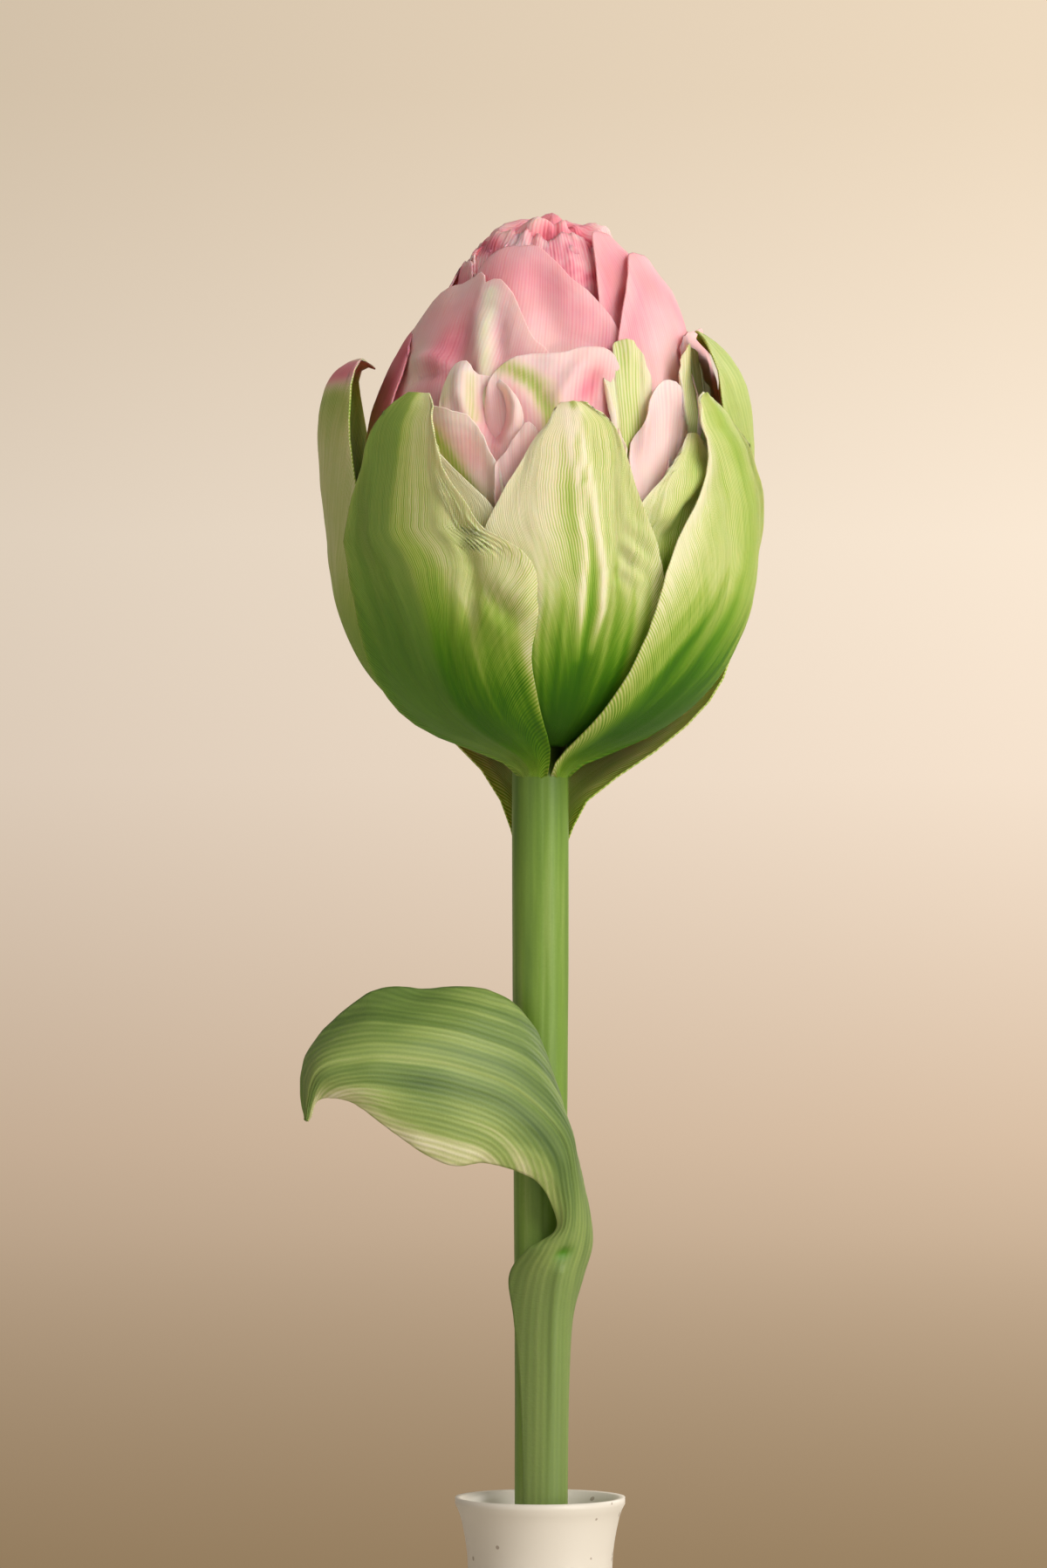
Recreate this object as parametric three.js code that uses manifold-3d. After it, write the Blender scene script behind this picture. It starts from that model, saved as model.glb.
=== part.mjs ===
// A cut double tulip standing in a plain stoneware bottle vase of water. Green-striped outer
// tepals open round a dense pink heart, and one leaf clasps the stem and arches to the side.
// Millimetres, +Z up. The vase's foot is centred on the origin, and the bloom's front faces -Y.
// Azimuths are in degrees round the stem: 0 is the front (-Y) and 90 is the right side (+X).

import * as THREE from "three";
import Module from "manifold-3d";

// Driving dimensions
const VASE_HEIGHT = 140;
const STEM_SHOWN = 115; // from the vase's lip to the base of the bloom
const BLOOM_BASE = VASE_HEIGHT + STEM_SHOWN;
const BLADE = 0.6; // thickness of a tepal, a petal and the leaf
const GAP = 0.3; // clearance between neighbouring pieces
const STEM_RADIUS = 4.5; // just under the bloom
const STEM_FOOT_RADIUS = 4; // at the cut end
const ROOT_RADIUS = STEM_RADIUS + GAP + BLADE; // outer face of a tepal where it leaves the stem
const CORE_BOTTOM = 16; // above the bloom's base, where the heart's core starts
const VASE_FLOOR = 5;
const WATER_LEVEL = 92;

// Colours of the living pieces and the pot
const STEM_GREEN = 0x6b9440;
const LEAF_GREEN = 0x7c9c58;
const TEPAL_GREEN = 0x93b35a;
const CREAM_GREEN = 0xd3d69c;
const PETAL_PINK = 0xefb4bf;
const HEART_PINK = 0xe89bab;
const STONEWARE = 0xd9d0c2;
const WATER_TINT = 0xd5e3e2;

const wasm = await Module();
wasm.setup();

const radians = THREE.MathUtils.degToRad;
const lerp = THREE.MathUtils.lerp;
const smoothstep = THREE.MathUtils.smoothstep;

// Catmull-Rom curve through evenly spaced values, with t from 0 to 1.
function spline(values, t) {
  const last = values.length - 1;
  const at = Math.min(Math.max(t, 0), 1) * last;
  const i = Math.min(Math.floor(at), last - 1);
  const f = at - i;
  const a = values[Math.max(i - 1, 0)];
  const b = values[i];
  const c = values[i + 1];
  const d = values[Math.min(i + 2, last)];
  const square = (2 * a - 5 * b + 4 * c - d) * f * f;
  const cube = (3 * b - a - 3 * c + d) * f * f * f;
  return 0.5 * (2 * b + (c - a) * f + square + cube);
}

// Profiles of the bloom, radius against height above its base. Every tepal and petal lies on one.
// The cup is the outer face of the green tepals, the dome that of the pink petals, and the bract
// profile hangs loose outside the cup.
const CUP = {
  r: [ROOT_RADIUS, ROOT_RADIUS + 0.1, 7.4, 11.5, 18, 23.6, 28.2, 31.2, 33.2, 34.2, 34.7, 35, 34.9, 33.6, 31.4, 28.4, 24.5],
  h: [-4, -1.6, 0.4, 2.2, 4.9, 8.6, 13.6, 18.9, 24.5, 31, 38, 45, 52, 58.5, 63, 66.5, 69.5],
};
const DOME = {
  r: [ROOT_RADIUS, 7.5, 13.5, 19.5, 24, 27, 28.2, 27.8, 26, 23.2, 19, 14.5, 9.5, 4.5, 0.5],
  h: [6.5, 7.5, 10, 14, 20.5, 30, 40, 50, 58, 65, 72, 78.3, 82.8, 85.4, 86.2],
  lean: 1.5,
};
const BRACT = {
  r: [ROOT_RADIUS, ROOT_RADIUS + 0.1, 5.9, 7.3, 10.5, 16, 22, 27.5, 32.5, 35.2, 36.4, 37, 36.7],
  h: [-17, -13, -9.5, -6.2, -3, 0.6, 4.6, 9.5, 17, 25, 35, 46, 54],
};

// The dome's top leans to the right. This is how far, at height h above the bloom's base.
function leanAt(profile, h) {
  return (profile.lean ?? 0) * smoothstep(h, 55, 75);
}

// Where on a profile a height is reached.
function atHeight(profile, h) {
  let low = 0;
  let high = 1;
  for (let i = 0; i < 30; i++) {
    const middle = (low + high) / 2;
    if (spline(profile.h, middle) < h) low = middle;
    else high = middle;
  }
  return (low + high) / 2;
}

// A point on a profile's surface at height h and azimuth az, set in by depth. Near the stem the
// layers stack upwards, and further out they nest along the surface's inward normal.
function onBloom(profile, h, az, depth) {
  const step = 0.004;
  const where = atHeight(profile, h);
  const t = Math.min(Math.max(where, step), 1 - step);
  const dr = spline(profile.r, t + step) - spline(profile.r, t - step);
  const dh = spline(profile.h, t + step) - spline(profile.h, t - step);
  const length = Math.hypot(dr, dh);
  const r = spline(profile.r, where);
  const out = h < 12 ? smoothstep(r, 6, 10) : 1;
  const inward = new THREE.Vector2(0, 1).lerp(new THREE.Vector2(-dh / length, dr / length), out);
  const radius = Math.max(r + inward.x * depth, 0.2);
  const angle = radians(az);
  return new THREE.Vector3(
    radius * Math.sin(angle) + leanAt(profile, h),
    -radius * Math.cos(angle),
    BLOOM_BASE + h + inward.y * depth,
  );
}

// The outer face of a tepal or petal. Its two margins are azimuths at the heights in rise, from
// root to tip. Arch lifts the middle of its top edge, hug presses its right margin in, and wave
// ripples both margins towards the top.
function petalFace({ profile, rise, left, right, depth, arch = 0, hug = [0, 0], wave = 0, waves = 5 }) {
  return (u, v) => {
    const h = spline(rise, v) + arch * (1 - u * u) * v ** 3;
    const az = lerp(spline(left, v), spline(right, v), (u + 1) / 2);
    const ripple = wave * Math.sin(v * waves * Math.PI * 2 + u * 2) * u * u * v;
    return onBloom(profile, h, az, spline(depth, v) + (spline(hug, v) * (u + 1)) / 2 - ripple);
  };
}

// A closed blade with face(u, v) as its outer side, u from -1 to 1 across and v from 0 to 1 up.
// Both sides are split into triangles alike. Grow swells it on every side.
function blade(face, across, along, grow = 0) {
  const points = [];
  const normals = [];
  const ids = [];
  const step = 0.004;
  for (let j = 0; j <= along; j++) {
    for (let i = 0; i <= across; i++) {
      const u = -1 + (2 * i) / across;
      const v = j / along;
      const point = face(u, v);
      const near = THREE.MathUtils.clamp(v, step, 0.97);
      const side = THREE.MathUtils.clamp(u, -1 + step, 1 - step);
      const du = face(side + step, near).sub(face(side - step, near));
      const dv = face(side, near + step).sub(face(side, near - step));
      const normal = du.cross(dv).normalize();
      const same = points.findIndex((p) => p.distanceTo(point) < 0.05);
      if (same < 0) {
        ids.push(points.length);
        points.push(point);
        normals.push(normal);
      } else {
        ids.push(same);
        normals[same].add(normal);
      }
    }
  }
  normals.forEach((n) => n.normalize());
  const row = across + 1;
  const faces = [];
  const add = (a, b, c) => {
    if (a !== b && b !== c && c !== a) faces.push([a, b, c]);
  };
  for (let j = 0; j < along; j++) {
    for (let i = 0; i < across; i++) {
      const k = j * row + i;
      add(ids[k], ids[k + 1], ids[k + row + 1]);
      add(ids[k], ids[k + row + 1], ids[k + row]);
    }
  }
  const edges = new Map();
  for (const [a, b, c] of faces) {
    for (const [p, q] of [[a, b], [b, c], [c, a]]) {
      if (!edges.delete(`${q} ${p}`)) edges.set(`${p} ${q}`, [p, q]);
    }
  }
  const spread = points.map(() => new THREE.Vector3());
  if (grow) {
    for (const [p, q] of edges.values()) {
      const away = points[q].clone().sub(points[p]).cross(normals[p]).normalize();
      spread[p].add(away);
      spread[q].add(away);
    }
    spread.forEach((s) => s.normalize().multiplyScalar(grow));
  }
  const count = points.length;
  const positions = [];
  for (const depth of [grow, -BLADE - grow]) {
    points.forEach((p, i) => {
      positions.push(...p.clone().add(spread[i]).addScaledVector(normals[i], depth));
    });
  }
  const index = [];
  for (const [a, b, c] of faces) {
    index.push(a, b, c);
    index.push(a + count, c + count, b + count);
  }
  for (const [p, q] of edges.values()) {
    index.push(q, p, p + count);
    index.push(q, p + count, q + count);
  }
  return new wasm.Manifold(
    new wasm.Mesh({
      numProp: 3,
      vertProperties: new Float32Array(positions),
      triVerts: new Uint32Array(index),
    }),
  );
}

// A solid of revolution about the stem's axis, from [radius, height] points on or closing on it.
function turned(outline, segments) {
  const profile = outline.map(([r, z]) => new THREE.Vector2(r, z));
  const lathe = new THREE.LatheGeometry(profile, segments);
  lathe.rotateX(Math.PI / 2);
  return solidOf(lathe);
}

// A three.js geometry as a solid, with its shared vertices merged.
function solidOf(geometry) {
  const source = geometry.getAttribute("position");
  const index = geometry.index.array;
  const found = new Map();
  const positions = [];
  const merged = [];
  for (let i = 0; i < source.count; i++) {
    const p = [source.getX(i), source.getY(i), source.getZ(i)];
    const key = p.map((x) => Math.round(x * 1000)).join(" ");
    if (!found.has(key)) {
      found.set(key, positions.length / 3);
      positions.push(...p);
    }
    merged.push(found.get(key));
  }
  const triangles = [];
  for (let i = 0; i < index.length; i += 3) {
    const [a, b, c] = [merged[index[i]], merged[index[i + 1]], merged[index[i + 2]]];
    if (a !== b && b !== c && c !== a) triangles.push(a, b, c);
  }
  return new wasm.Manifold(
    new wasm.Mesh({
      numProp: 3,
      vertProperties: new Float32Array(positions),
      triVerts: new Uint32Array(triangles),
    }),
  );
}

const bloom = new THREE.Group();

// Adds a solid to the part as a named mesh with its own material.
function piece(name, solid, color, roughness = 0.6) {
  const made = solid.getMesh();
  const geometry = new THREE.BufferGeometry();
  const positions = new Float32Array(made.numVert * 3);
  for (let i = 0; i < made.numVert; i++) {
    positions.set(made.vertProperties.subarray(i * made.numProp, i * made.numProp + 3), i * 3);
  }
  geometry.setAttribute("position", new THREE.BufferAttribute(positions, 3));
  geometry.setIndex(new THREE.BufferAttribute(made.triVerts, 1));
  geometry.computeVertexNormals();
  const mesh = new THREE.Mesh(geometry, new THREE.MeshStandardMaterial({ color, roughness, metalness: 0 }));
  mesh.name = name;
  bloom.add(mesh);
}

// The biggest body of a solid that a cut may have left in pieces.
function mainBody(solid) {
  const bodies = solid.decompose();
  return bodies.reduce((a, b) => (b.volume() > a.volume() ? b : a));
}

// Green tepals, from the outside in. The first three stand outside the next three.
const TEPALS = [
  {
    name: "tepal_front_left",
    rise: [-3.6, 0.6, 3.5, 8, 16, 24, 32, 38, 44, 50, 55, 57.2],
    left: [-50, -58, -69, -69, -62, -59, -60, -58.5, -53.5, -49, -43, -37.5],
    right: [16, 12, 5, 0, -2.5, -0.7, -3, -12, -23, -29.5, -34, -36.5],
    depth: [0, 0, 0, 0, 0, 0, -0.2, -0.2, 0, 0, 0.4, 0.8],
  },
  {
    name: "tepal_front_right",
    rise: [-3.6, 0.6, 3.5, 8, 16, 24, 32, 38, 44, 50, 55, 57.2],
    left: [24, 20, 20, 24, 29, 31.5, 35, 40, 45.5, 45, 44.5, 48.5],
    right: [92, 95, 98, 100, 100, 99, 96, 88, 76, 65, 56, 50],
    depth: [0, 0, 0, 0, 0, 0, 0, 0, 0, 0, 0.4, 0.8],
  },
  {
    name: "tepal_back",
    rise: [-3.6, 0.6, 3.5, 8, 16, 25, 34, 43, 51, 57, 61, 63],
    left: [150, 148, 146, 145, 144, 143, 144, 146, 151, 159, 169, 180],
    right: [214, 216, 218, 219, 220, 221, 220, 218, 213, 205, 195, 184],
    depth: [0, 0, 0, 0, 0, 0, 0, 0, 0, 0.2, 0.4, 0.8],
  },
  {
    name: "tepal_front_centre",
    rise: [1.4, 4.5, 10, 18, 26, 33, 40, 47, 53, 56.4],
    left: [-20, -14, -17, -18.4, -18.5, -17, -11, -4, 2, 8.5],
    right: [45, 38, 38, 38.5, 37.4, 35, 30, 23.6, 19.5, 9.5],
    depth: [1.3, 1.3, 1.3, 1.3, 1.3, 1.3, 1.3, 1.3, 1.5, 1.7],
  },
  {
    name: "tepal_left",
    rise: [1.4, 4.5, 10, 19, 28, 37, 47, 55, 60.5, 64, 65.5],
    left: [-122, -128, -131, -133, -134, -133, -131, -125, -118, -106, -94],
    right: [-72, -60, -54, -51, -52, -55, -57, -58, -61, -70, -90],
    depth: [1.4, 1.4, 1.4, 1.4, 1.4, 1.2, 0.5, -0.2, 0, 2, 5],
  },
  {
    name: "tepal_right",
    rise: [1.4, 4.5, 10, 19, 28, 37, 44, 52, 60, 65, 67.8],
    left: [72, 64, 61, 62, 64, 68, 72, 66, 62, 63, 68],
    right: [118, 124, 128, 131, 131, 130, 128, 123, 112, 95, 72],
    depth: [1.3, 1.3, 1.3, 1.3, 1.3, 1.3, 1.3, 1.1, 0.1, 0, 0.4],
    hug: [0, 0, 0, 0, -0.2, -0.7, -1.1, -1.1, -0.3, 0, 0],
  },
  {
    name: "tepal_inner_right",
    rise: [3, 8, 15, 24, 33, 42, 49, 54],
    left: [20, 15, 14, 14, 15, 18, 25, 36],
    right: [56, 60, 62, 62, 61, 58, 52, 42],
    depth: [2.8, 2.8, 2.8, 2.8, 2.8, 2.8, 2.7, 2.9],
  },
  {
    name: "tepal_inner_left",
    rise: [3, 8, 15, 24, 33, 40, 46, 52, 55.5],
    left: [-54, -58, -60, -60, -59, -58, -56, -50, -40],
    right: [-14, -8, -6, -6, -8, -14.5, -26, -33, -36],
    depth: [2.8, 2.8, 2.8, 2.8, 2.8, 2.8, 2.8, 2.8, 2.8],
  },
  {
    name: "tepal_inner_back_left",
    rise: [3, 8, 15, 24, 33, 42, 50, 55, 58],
    left: [-172, -176, -178, -178, -177, -174, -168, -160, -150],
    right: [-118, -114, -112, -112, -113, -116, -124, -134, -146],
    depth: [2.8, 2.8, 2.8, 2.8, 2.8, 2.8, 2.6, 2.4, 2.4],
  },
  {
    name: "tepal_inner_back_right",
    rise: [3, 8, 15, 24, 33, 42, 51, 57, 60],
    left: [110, 106, 104, 104, 105, 108, 116, 126, 136],
    right: [164, 168, 171, 172, 171, 168, 160, 151, 141],
    depth: [2.8, 2.8, 2.8, 2.8, 2.8, 2.8, 2.6, 2.4, 2.4],
  },
];

// The bract: a leaf-like tepal that leaves the stem lower down and backs the bloom.
const BRACT_LEAF = {
  name: "bract",
  profile: BRACT,
  rise: [-16, -11, -7, -3, 1, 6, 13, 22, 32, 42, 49, 53],
  left: [128, 112, 106, 103, 103, 105, 109, 116, 125, 140, 156, 172],
  right: [232, 242, 246, 248, 248, 246, 242, 235, 226, 212, 198, 182],
  depth: [0, 0, 0, 0, 0, 0, 0, 0, 0, 0, 0, 0.6],
  hug: [0, 0, 0.2, 1, 1.7, 1.2, 0.7, 0.7, 0.7, 0.7, 0.5, 0.2],
};

// Pink and cream petals that can be told apart, from the outside in, from where they come into
// view. Arch and wave shape their edges, and a negative depth stands a petal off the dome.
const PETALS = [
  {
    name: "petal_small_front",
    rise: [31, 37, 42, 46, 49.5, 51.6],
    left: [-12, -12, -12, -12, -10, -6],
    right: [3, 1, -1.5, -2.5, -2, -4],
    depth: [-2, -2, -2.2, -2.5, -2.6, -2.4],
    color: PETAL_PINK,
  },
  {
    name: "petal_fold_left",
    rise: [31, 38, 44, 49, 53, 55.4],
    left: [-30, -24, -25, -30, -34.5, -38],
    right: [-14, -13, -13.5, -16, -24, -33],
    depth: [-1.2, -1.2, -1.6, -2.2, -2.6, -2.8],
    color: CREAM_GREEN,
  },
  {
    name: "petal_fold_right",
    rise: [31, 39, 45, 51, 56, 60.6],
    left: [-28, -25, -19, -13, -14, -20],
    right: [0, -3, -6, -6.5, -8.5, -17],
    depth: [-0.1, -0.1, -0.1, -1, -1.5, -1.6],
    color: CREAM_GREEN,
  },
  {
    name: "petal_right_ruffled",
    rise: [31, 38, 43, 47, 51, 55, 58, 59.6],
    left: [28, 31, 31, 29.5, 30, 35, 40, 44],
    right: [42, 41, 41.5, 45, 51, 52, 50, 45.5],
    depth: [-1.8, -1.8, -1.8, -1.8, -2, -2.2, -2.3, -2.3],
    color: PETAL_PINK,
  },
  {
    name: "petal_right_cream",
    rise: [31, 40, 48, 54, 59, 63, 65.6],
    left: [18, 17, 17, 18, 21, 25.5, 30.5],
    right: [37, 34, 34.5, 39, 42.5, 41, 35.5],
    depth: [-0.5, -0.5, -0.5, -0.6, -0.8, -1, -1],
    color: CREAM_GREEN,
  },
  {
    name: "petal_far_right_cream",
    rise: [31, 41, 50, 56, 61, 64.4],
    left: [45, 45, 46, 47, 49, 56],
    right: [70, 71, 71, 71, 69, 61],
    depth: [-0.5, -0.5, -0.6, -0.8, -1.2, -1.6],
    color: CREAM_GREEN,
  },
  {
    name: "petal_right_edge",
    rise: [31, 42, 52, 60, 65, 67],
    left: [76, 76, 76, 72, 71, 75],
    right: [107, 107, 106, 103, 99, 92],
    depth: [-0.5, -0.7, -1.3, -2, -2.3, -2.4],
    color: PETAL_PINK,
  },
  {
    name: "petal_low_centre",
    rise: [31, 40, 48, 54, 60, 63.4],
    left: [-18, -19, -20, -20, -18, -10],
    right: [26, 28.5, 29, 29, 28, 22],
    depth: [1, 1, 0.9, 0.7, 0.2, 0],
    arch: 1.2,
    color: PETAL_PINK,
  },
  {
    name: "petal_left_small",
    rise: [31, 42, 52, 59, 64, 67.8],
    left: [-119, -120, -118, -114, -107, -94],
    right: [-62, -61, -60, -61, -65, -78],
    depth: [0.4, 0.4, 0.1, 0, 0.2, 0.6],
    color: PETAL_PINK,
  },
  {
    name: "petal_left_ribbed",
    rise: [31, 43, 53, 61, 67, 72, 75, 76.6],
    left: [-58, -56, -55, -57, -59, -56, -48, -38],
    right: [0, 2, 3, 3, -2, -11, -21, -32],
    depth: [2.2, 2.2, 2, 1.4, 0.8, 0.3, 0.1, 0],
    color: PETAL_PINK,
  },
  {
    name: "petal_right_large",
    rise: [31, 43, 53, 61, 68, 73.5, 77, 78.6],
    left: [28, 28, 29, 30, 34, 42, 54, 65],
    right: [99, 100, 101, 101, 100, 95, 86, 76],
    depth: [2.2, 2.1, 1.8, 1, 0, -0.9, -1.3, -1.4],
    color: PETAL_PINK,
  },
  {
    name: "petal_centre_large",
    rise: [31, 45, 57, 66, 72, 76.5, 79],
    left: [-34, -36, -40, -45, -48, -48, -38],
    right: [33, 34, 35, 35, 28, 17, -2],
    depth: [3.5, 3.5, 3.1, 2.3, 1.7, 1.2, 0.6],
    arch: 1.6,
    color: PETAL_PINK,
  },
  {
    name: "petal_upper_right",
    rise: [31, 46, 58, 67, 73, 77.5, 80.6, 82.6],
    left: [39, 39, 39, 38, 37, 37, 41, 50],
    right: [84, 84, 84, 84, 84, 81, 73, 58],
    depth: [3.4, 3.4, 3, 2.4, 1.7, 0.9, -0.4, -1.6],
    color: PETAL_PINK,
  },
  {
    name: "petal_upper_centre",
    rise: [31, 47, 60, 68, 74, 78.5, 81.5, 82.8],
    left: [-15, -16, -16, -15, -11, -3, 6, 13],
    right: [44, 44, 43, 40, 36, 35, 32, 27],
    depth: [4.7, 4.7, 4.6, 4.1, 3.4, 2.8, 2, 1.4],
    color: PETAL_PINK,
  },
];

// Pink petals round the back, by rule: each is a plain ovate outline about its own azimuth.
const BACK_PETALS = [
  { name: "petal_back_low_right", az: 132, half: 21, tip: 63, root: 0.4, top: -0.4 },
  { name: "petal_back_low_centre", az: 177, half: 20, tip: 65.5, root: 0.4, top: -0.4 },
  { name: "petal_back_low_left", az: 218, half: 18, tip: 62, root: 0.4, top: -0.4 },
  { name: "petal_back_right", az: 136, half: 31, tip: 75, root: 1.9, top: 0.2 },
  { name: "petal_back_left", az: 222, half: 32, tip: 76.5, root: 1.9, top: 0.2 },
  { name: "petal_back_centre", az: 178, half: 36, tip: 80, root: 3.2, top: 1.2 },
  { name: "petal_upper_left", az: 264, half: 34, tip: 79, root: 3.2, top: 1.2 },
  { name: "petal_upper_back", az: 132, half: 32, tip: 82.5, root: 4.7, top: 2.2 },
];

// Outline of a petal placed by rule, as a share of its half width from root to tip.
const OVATE = [0.9, 0.97, 1, 1, 0.96, 0.82, 0.56, 0.14];
const SHARE_OF_RISE = [0, 0.2, 0.4, 0.57, 0.74, 0.86, 0.95, 1];

function ovate({ name, az, half, tip, root, top }) {
  return {
    name,
    rise: SHARE_OF_RISE.map((s) => lerp(31, tip, s)),
    left: OVATE.map((w) => az - half * w),
    right: OVATE.map((w) => az + half * w),
    depth: SHARE_OF_RISE.map((s) => lerp(root, top, smoothstep(s, 0.5, 1))),
    arch: 0.8,
    color: PETAL_PINK,
  };
}

// The claw that carries a petal down the dome to the stem, narrowing on the way. The claws stack
// up the receptacle with a little more room than the petals have above.
const CLAW_RISE = [7, 8.4, 11, 15.5, 22];
const CLAW_WIDTH = [0.6, 0.7, 0.8, 0.9, 0.96];
const CLAW_STACKED = [1, 0.75, 0.4, 0.12, 0];

function withClaw({ rise, left, right, depth, ...rest }) {
  const middle = (left[0] + right[0]) / 2;
  const root = 1.15 * (depth[0] + 2.8) - 1.6;
  return {
    ...rest,
    rise: [...CLAW_RISE, ...rise],
    left: [...CLAW_WIDTH.map((w) => lerp(middle, left[0], w)), ...left],
    right: [...CLAW_WIDTH.map((w) => lerp(middle, right[0], w)), ...right],
    depth: [...CLAW_STACKED.map((w) => lerp(depth[0], root, w)), ...depth],
  };
}

// The crumpled petal tips that close the top of the heart, fused to its core.
const CROWN = [
  { az: -58, half: 28, low: 68, tip: 80.4 },
  { az: -16, half: 28, low: 72, tip: 83.4 },
  { az: 24, half: 30, low: 76, tip: 85.2 },
  { az: 78, half: 30, low: 74, tip: 84.4 },
  { az: 128, half: 32, low: 76, tip: 85.4 },
  { az: 180, half: 34, low: 70, tip: 83.6 },
  { az: 228, half: 34, low: 70, tip: 83 },
  { az: 280, half: 30, low: 73, tip: 85 },
];

function crownPetal({ az, half, low, tip }) {
  return petalFace({
    profile: DOME,
    rise: [low, lerp(low, tip, 0.5), tip],
    left: [az - half, az - half, az - half * 0.6],
    right: [az + half, az + half, az + half * 0.6],
    depth: [7.5, 3.6, 0.6],
    arch: 0.8,
    wave: 0.8,
    waves: 1.5,
  });
}

// Core of the heart, as radius and height above the bloom's base.
const CORE = [
  [0, CORE_BOTTOM], [8, CORE_BOTTOM], [15, 21], [19.4, 27], [21.8, 36], [22.3, 44], [21.2, 53],
  [19.2, 61], [16.4, 68], [12.6, 74], [8.4, 79], [4.2, 82], [0, 83],
];

// The leaf, by three rails from its foot to its tip: [x, y, height above the bloom's base].
// The margins clasp the stem, then rise and arch over to the left with the tip hanging.
const LEAF_NEAR_MARGIN = [
  [-2.6, -4.3, -131.5], [-2.6, -4.3, -120.6], [-2.8, -4.3, -107.6], [-3.2, -4.4, -96.7],
  [-4.2, -4, -86.7], [-4.9, -3.9, -80.2], [-2.2, -6.6, -76], [2.2, -7.4, -72.9], [1.9, -9, -69.1],
  [-1, -12, -64.7], [-7.9, -16, -62.1], [-14.3, -18.5, -62.1], [-21.2, -20, -58.4],
  [-28.2, -20, -52.8], [-33.9, -18.6, -52], [-35.9, -17, -55.4],
];
const LEAF_KEEL = [
  [1.4, -5.2, -131.4], [1.6, -5.2, -120.5], [1.8, -5.4, -107.5], [2, -5.8, -96.5],
  [2.2, -6.2, -86.6], [3, -6.9, -80.1], [4.6, -7.5, -75.5], [5.5, -8.2, -71], [5.1, -9.8, -65],
  [3.3, -12, -57.9], [-3.5, -15.5, -50.9], [-11.9, -18.3, -47.5], [-20.2, -19.8, -45.9],
  [-27.6, -20.3, -45.7], [-34.5, -19.4, -47.9], [-36.3, -17.3, -55.4],
];
const LEAF_FAR_MARGIN = [
  [4.3, -2.8, -131.7], [4.3, -2.7, -120.7], [4.4, -2.6, -107.8], [4.6, -2.4, -96.8],
  [5.2, -1.6, -86.9], [6.9, -0.8, -80.4], [8.3, -0.6, -75], [7.5, -2.2, -68.4], [6, -4.6, -62.3],
  [4.5, -6.4, -54.7], [-0.4, -8, -40.9], [-8, -9, -35.2], [-17.9, -10, -34.6], [-27.3, -11, -36.1],
  [-36.6, -13.6, -45], [-36.8, -17, -55.1],
];

function leafFace(u, v) {
  const rail = (points) => [0, 1, 2].map((k) => spline(points.map((p) => p[k]), v));
  const near = rail(LEAF_NEAR_MARGIN);
  const keel = rail(LEAF_KEEL);
  const far = rail(LEAF_FAR_MARGIN);
  const at = [0, 1, 2].map(
    (k) => (near[k] * u * (u - 1)) / 2 + keel[k] * (1 - u * u) + (far[k] * u * (u + 1)) / 2,
  );
  return new THREE.Vector3(at[0], at[1], BLOOM_BASE + at[2]);
}

// Stem with the receptacle on top, as radius and height.
const STEM = [
  [0, VASE_FLOOR + GAP], [STEM_FOOT_RADIUS - 0.3, VASE_FLOOR + GAP],
  [STEM_FOOT_RADIUS, VASE_FLOOR + GAP + 0.5], [STEM_FOOT_RADIUS, VASE_HEIGHT],
  [STEM_FOOT_RADIUS + 0.1, BLOOM_BASE - 92], [STEM_FOOT_RADIUS + 0.3, BLOOM_BASE - 60],
  [STEM_RADIUS, BLOOM_BASE - 24], [STEM_RADIUS, BLOOM_BASE - 3.2],
  [STEM_RADIUS - 0.2, BLOOM_BASE + 2], [STEM_RADIUS - 0.2, BLOOM_BASE + 14.4],
  [STEM_RADIUS - 1, BLOOM_BASE + CORE_BOTTOM - GAP], [0, BLOOM_BASE + CORE_BOTTOM - GAP],
];

// The vase: outer side from the foot to the lip, then down the inside.
const VASE_OUTSIDE = [
  [0, 0], [29, 0], [31.5, 1], [34, 5], [38.6, 18], [41.4, 32], [42, 44], [40.6, 57], [37, 70],
  [31.2, 82], [24, 92.5], [17.4, 101.5], [13.2, 111], [11.6, 121], [11.4, 130], [12.4, 136.5],
  [13.8, 139.3], [13.2, VASE_HEIGHT],
];
const VASE_INSIDE = [
  [12, VASE_HEIGHT - 0.6], [10.2, 137], [8.6, 130], [8.5, 121], [9.8, 110.5], [14.2, 100],
  [21, 90.4], [28.2, 80.4], [33.6, 69], [37, 56.4], [38.3, 44], [37.8, 32.5], [35.2, 19.5],
  [31, 8.5], [27, VASE_FLOOR], [0, VASE_FLOOR],
];

// Water: the vase's inner wall taken in by the gap, up to the water level, with the stem's hole.
function waterOutline() {
  const wall = VASE_INSIDE.filter(([r, z]) => r > 0 && z < WATER_LEVEL).reverse();
  const hole = STEM_FOOT_RADIUS + GAP;
  const bottom = VASE_FLOOR + GAP;
  return [
    [hole, bottom],
    ...wall.map(([r, z]) => [r - GAP * 1.6, Math.max(z, bottom)]),
    [19.6, WATER_LEVEL - 0.6],
    [hole, WATER_LEVEL - 0.6],
    [hole, bottom],
  ];
}

// Builds each piece from the outside in. A piece is trimmed clear of those already placed.
const placed = [];

function clearOf(solid) {
  let trimmed = solid;
  for (const other of placed) {
    if (trimmed.intersect(other).volume() > 1e-6) trimmed = trimmed.subtract(other);
  }
  return mainBody(trimmed);
}

function addPetal(shape, color, across, along) {
  const face = petalFace({ profile: DOME, ...shape });
  piece(shape.name, clearOf(blade(face, across, along)), color);
  placed.push(blade(face, across, along, GAP));
}

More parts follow.
